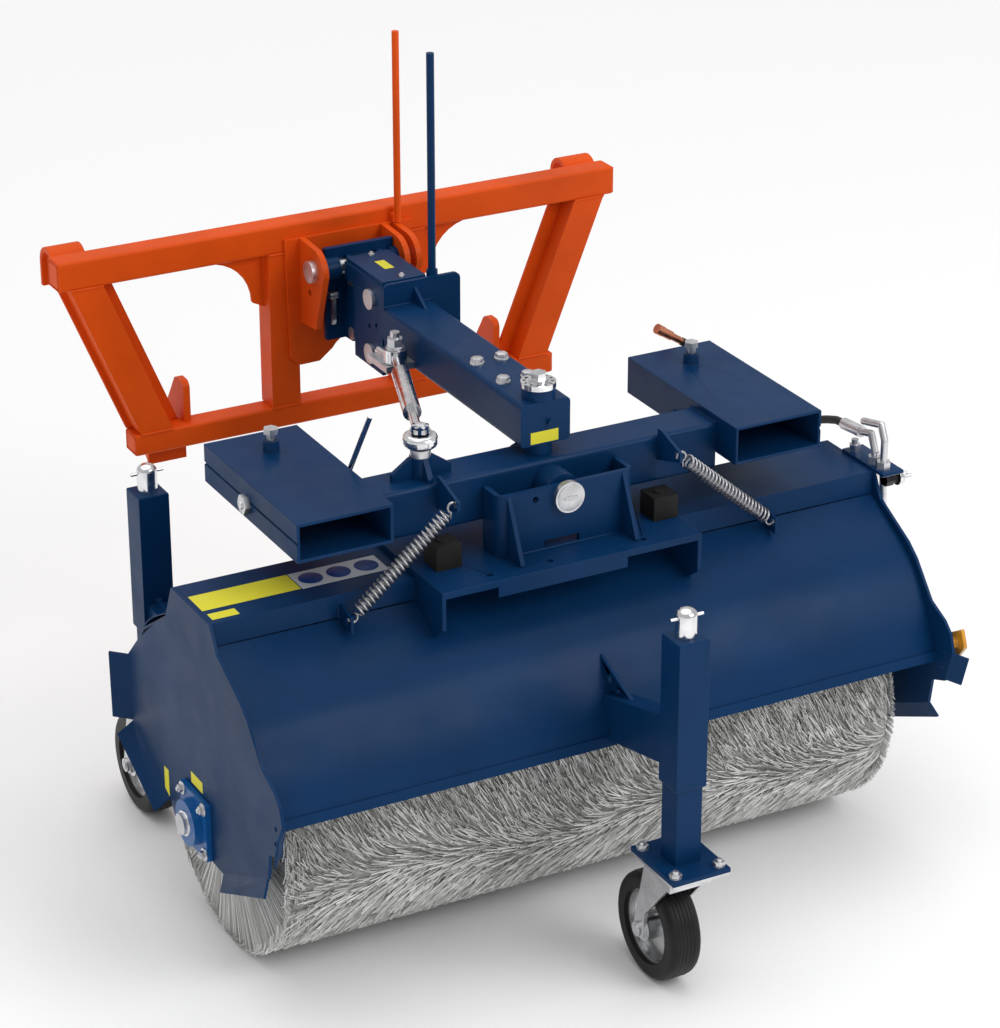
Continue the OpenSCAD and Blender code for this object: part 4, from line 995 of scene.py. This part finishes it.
def soft_line(points, steps=8):
    """A smooth curve through the points, its bend spread over each stretch."""
    places = [Vector(point) for point in points]
    runs = [b - a for a, b in zip(places, places[1:])]
    turns = [runs[0].normalized()]
    for before, after in zip(runs, runs[1:]):
        turns.append((before.normalized() * after.length + after.normalized() * before.length).normalized())
    turns.append(runs[-1].normalized())
    result = []
    for i, run in enumerate(runs):
        pull = run.length / 3
        bends = (places[i], places[i] + turns[i] * pull, places[i + 1] - turns[i + 1] * pull, places[i + 1])
        for k in range(steps):
            t = k / steps
            weights = ((1 - t) ** 3, 3 * t * (1 - t) ** 2, 3 * t * t * (1 - t), t ** 3)
            result.append(sum((bend * weight for bend, weight in zip(bends, weights)), Vector((0.0, 0.0))))
    result.append(places[-1])
    return result


def shifted(line_points, distance):
    """The line moved sideways, out of the hood."""
    result = []
    for i, point in enumerate(line_points):
        run = (line_points[min(i + 1, len(line_points) - 1)] - line_points[max(i - 1, 0)]).normalized()
        result.append(point + Vector((run.y, -run.x)) * distance)
    return result


def skin(name, outer, inner, half, side):
    """A thin sheet across the hood between two lines, closed all round."""
    mesh = bmesh.new()
    rings = []
    for x in (-half, half):
        rings.append([[mesh.verts.new(at(x, side * p.x, p.y)) for p in row] for row in (outer, inner)])
    (out_a, in_a), (out_b, in_b) = rings
    for i in range(len(outer) - 1):
        mesh.faces.new((out_a[i], out_a[i + 1], out_b[i + 1], out_b[i]))
        mesh.faces.new((in_a[i], in_b[i], in_b[i + 1], in_a[i + 1]))
        mesh.faces.new((out_a[i], in_a[i], in_a[i + 1], out_a[i + 1]))
        mesh.faces.new((out_b[i], out_b[i + 1], in_b[i + 1], in_b[i]))
    for i in (0, -1):
        mesh.faces.new((out_a[i], out_b[i], in_b[i], in_a[i]))
    return built(mesh, name)


class SWEEPER_OT_hood(bpy.types.Operator):
    """The rolled outer faces of the hood sheets, with the doubled lip along each"""

    bl_idname = "sweeper.hood"
    bl_label = "Hood"

    def execute(self, context):
        half = (high("hood_front_sheet", 0) - low("hood_front_sheet", 0)) / 2 / MM - SKIN_CLEARANCE
        course = soft_line(HOOD_LINE)
        for word, side in (("front", 1), ("rear", -1)):
            sheet = skin("hood_skin", shifted(course, SKIN_HALF), shifted(course, -SKIN_HALF), half, side)
            end = course[-1]
            start = end + (course[-2] - end).normalized() * LIP_DEPTH
            lip_line = [start, start.lerp(end, 0.5), end]
            lip = skin("lip", shifted(lip_line, LIP_STANDS_OUT), shifted(lip_line, SKIN_HALF), half, side)
            dress(join([sheet, lip]), "hood_%s_skin" % word, "blue_paint", "hood")
        return {"FINISHED"}


# Weld beads as name, start, stop, paint and body, in millimetres; the first lot is on both sides
BEAD_STEP = 3.0
RIPPLE = 0.16
RIPPLES_A_MM = 2.1
SIDE_BEADS = (
    ("bead_upright_top", (108, 771, 981), (169, 771, 981), "orange_paint", "hitch"),
    ("bead_upright_foot", (108, 771, 661), (169, 771, 661), "orange_paint", "hitch"),
    ("bead_diagonal_top", (510, 771, 981), (577, 771, 981), "orange_paint", "hitch"),
    ("bead_diagonal_foot", (381, 771, 661), (448, 771, 661), "orange_paint", "hitch"),
    ("bead_pocket", (345, -50, 837), (345, 40, 837), "blue_paint", "swing_frame"),
    ("bead_bracket", (128, -112, 697), (112, -112, 697), "blue_paint", "hood"),
)
MIDDLE_BEADS = (
    ("bead_bracket_front", (-118, -112, 697), (118, -112, 697), "blue_paint", "hood"),
    ("bead_boom_head", (-50, 510, 942), (50, 510, 942), "blue_paint", "head"),
    ("bead_arm_top", (-20, -494, 535), (20, -494, 535), "blue_paint", "hood"),
)


class SWEEPER_OT_welds(bpy.types.Operator):
    """Weld beads along the seams that show"""

    bl_idname = "sweeper.welds"
    bl_label = "Welds"

    def bead(self, name, start, stop, finish, body):
        """One rippled bead from point to point."""
        a = Vector(start)
        b = Vector(stop)
        count = max(6, int((b - a).length / BEAD_STEP))
        places = [tuple(a.lerp(b, i / count)) for i in range(count + 1)]
        piece = line(places, bpy.context.scene.sweeper.bead, name, 2)
        first = at(*places[0])
        run = (at(*places[-1]) - first).normalized()
        for vertex in piece.data.vertices:
            along = (vertex.co - first).dot(run)
            core = first + run * along
            vertex.co = core + (vertex.co - core) * (1.0 + RIPPLE * math.sin(along / MM * RIPPLES_A_MM))
        dress(piece, name, finish, body, ROUND_SHADING)

    def execute(self, context):
        for word, side in (("left_", -1), ("right_", 1)):
            for name, start, stop, finish, body in SIDE_BEADS:
                first = (side * start[0], *start[1:])
                last = (side * stop[0], *stop[1:])
                self.bead(word + name, first, last, finish, body)
        for bead in MIDDLE_BEADS:
            self.bead(*bead)
        return {"FINISHED"}


# Dial, in millimetres
DIAL_DROP = 16.0
DIAL_NUMBERS = 12
NUMBER_SIZE = 8.5
NUMBER_RADIUS = 25.5
NUMBER_DEPTH = 0.2


class SWEEPER_OT_dial(bpy.types.Operator):
    """Plain numbers on the ring of the yaw pin"""

    bl_idname = "sweeper.dial"
    bl_label = "Dial"

    def execute(self, context):
        pin = JOINTS["swing_yaw"]["pos_m"]
        face = high("yaw_pin", 2) - DIAL_DROP * MM
        numbers = []
        for step in range(DIAL_NUMBERS):
            bpy.ops.object.select_all(action="DESELECT")
            bpy.ops.object.text_add(location=(0, 0, 0))
            text = bpy.context.object
            text.data.body = str(2 * min(step, DIAL_NUMBERS - step))
            text.data.size = NUMBER_SIZE * MM
            text.data.align_x = "CENTER"
            text.data.align_y = "CENTER"
            text.data.extrude = NUMBER_DEPTH * MM
            bpy.ops.object.convert(target="MESH")
            number = bpy.context.object
            turn = Matrix.Rotation(2 * math.pi * step / DIAL_NUMBERS, 4, "Z")
            place = Matrix.Translation((pin[0], pin[1], face)) @ turn
            number.data.transform(place @ Matrix.Translation((0, -NUMBER_RADIUS * MM, NUMBER_DEPTH * MM)))
            numbers.append(number)
        dress(join(numbers), "dial_numbers", "ink", "swing_frame")
        return {"FINISHED"}


# Stage: places and sizes in metres, angles in degrees
FLOOR_SIZE = 60.0
FLOOR_LEVEL = -0.0005
FLOOR_SHADE = 0.96
WORLD_STRENGTH = 0.60
KEY_PLACE = Vector((2.2, -4.2, 4.2))
KEY_AIM = Vector((0, 0, 0.5))
KEY_SIZE = 3.0
KEY_POWER = 120.0
SUN_STRENGTH = 1.1
SUN_SPREAD = 70
SUN_LEAN = -12

# Camera, in degrees, pixels and millimetres
CAMERA_TURN = -28.19
CAMERA_TILT = 24.79
CAMERA_PLACE = (-2640.5, -4787.8, 3234.7)
FOCAL_PX = 3341.2
IMAGE_WIDTH_PX = 1000
SENSOR_WIDTH = 36.0


class SWEEPER_OT_stage(bpy.types.Operator):
    """Pale floor, soft studio light and the camera of the photograph"""

    bl_idname = "sweeper.stage"
    bl_label = "Stage"

    def execute(self, context):
        scene = context.scene
        strength = scene.sweeper.light
        bpy.ops.object.select_all(action="DESELECT")
        bpy.ops.mesh.primitive_plane_add(size=FLOOR_SIZE, location=(0, 0, FLOOR_LEVEL))
        floor = bpy.context.object
        floor.name = "floor"
        pale = bpy.data.materials.new("floor_pale")
        pale.use_nodes = True
        shader = pale.node_tree.nodes["Principled BSDF"]
        shader.inputs["Base Color"].default_value = (FLOOR_SHADE, FLOOR_SHADE, FLOOR_SHADE, 1.0)
        shader.inputs["Roughness"].default_value = 0.85
        floor.data.materials.append(pale)
        world = bpy.data.worlds.new("studio")
        world.use_nodes = True
        background = world.node_tree.nodes["Background"]
        background.inputs["Color"].default_value = (1.0, 1.0, 1.0, 1.0)
        background.inputs["Strength"].default_value = WORLD_STRENGTH * strength
        scene.world = world
        bpy.ops.object.light_add(type="AREA", location=KEY_PLACE)
        key = bpy.context.object
        key.name = "key"
        key.data.size = KEY_SIZE
        key.data.energy = KEY_POWER * strength
        key.rotation_euler = (KEY_AIM - KEY_PLACE).to_track_quat("-Z", "Y").to_euler()
        bpy.ops.object.light_add(type="SUN", location=(0, 0, 6))
        top = bpy.context.object
        top.name = "top"
        top.data.energy = SUN_STRENGTH * strength
        top.data.angle = math.radians(SUN_SPREAD)
        top.rotation_euler = (math.radians(SUN_LEAN), 0, 0)
        scene.view_settings.view_transform = "Standard"
        self.camera(scene)
        return {"FINISHED"}

    def camera(self, scene):
        """The photograph's camera, solved from the hitch, the pockets and the hood."""
        tilt = math.pi / 2 - math.radians(CAMERA_TILT)
        turn = math.radians(CAMERA_TURN)
        bpy.ops.object.camera_add(location=at(*CAMERA_PLACE), rotation=(tilt, 0.0, turn))
        camera = bpy.context.object
        camera.name = "photo_camera"
        camera.data.sensor_fit = "HORIZONTAL"
        camera.data.sensor_width = SENSOR_WIDTH
        camera.data.lens = FOCAL_PX * SENSOR_WIDTH / IMAGE_WIDTH_PX
        camera.data.clip_end = 100.0
        scene.camera = camera


OPERATORS = (SWEEPER_OT_finishes, SWEEPER_OT_stage, SWEEPER_OT_hose, SWEEPER_OT_bristles, SWEEPER_OT_springs,
             SWEEPER_OT_labels, SWEEPER_OT_fasteners, SWEEPER_OT_hood, SWEEPER_OT_welds, SWEEPER_OT_dial)


class SWEEPER_PT_panel(bpy.types.Panel):
    """The steps of the dressing, in order"""

    bl_idname = "SWEEPER_PT_panel"
    bl_label = "Sweeping machine"
    bl_space_type = "VIEW_3D"
    bl_region_type = "UI"
    bl_category = "Sweeper"

    def draw(self, context):
        settings = context.scene.sweeper
        for name in ("blue", "orange", "tuft_rows", "tufts_round", "bead", "light"):
            self.layout.prop(settings, name)
        for operator in OPERATORS:
            self.layout.operator(operator.bl_idname)


CLASSES = (SweeperSettings, *OPERATORS, SWEEPER_PT_panel)


def register():
    """Registers the classes and the settings."""
    for cls in CLASSES:
        bpy.utils.register_class(cls)
    bpy.types.Scene.sweeper = bpy.props.PointerProperty(type=SweeperSettings)


def unregister():
    """Takes the settings and the classes away again."""
    del bpy.types.Scene.sweeper
    for cls in reversed(CLASSES):
        bpy.utils.unregister_class(cls)


def main():
    register()
    for operator in OPERATORS:
        group, name = operator.bl_idname.split(".")
        getattr(getattr(bpy.ops, group), name)()


if __name__ == "__main__":
    main()
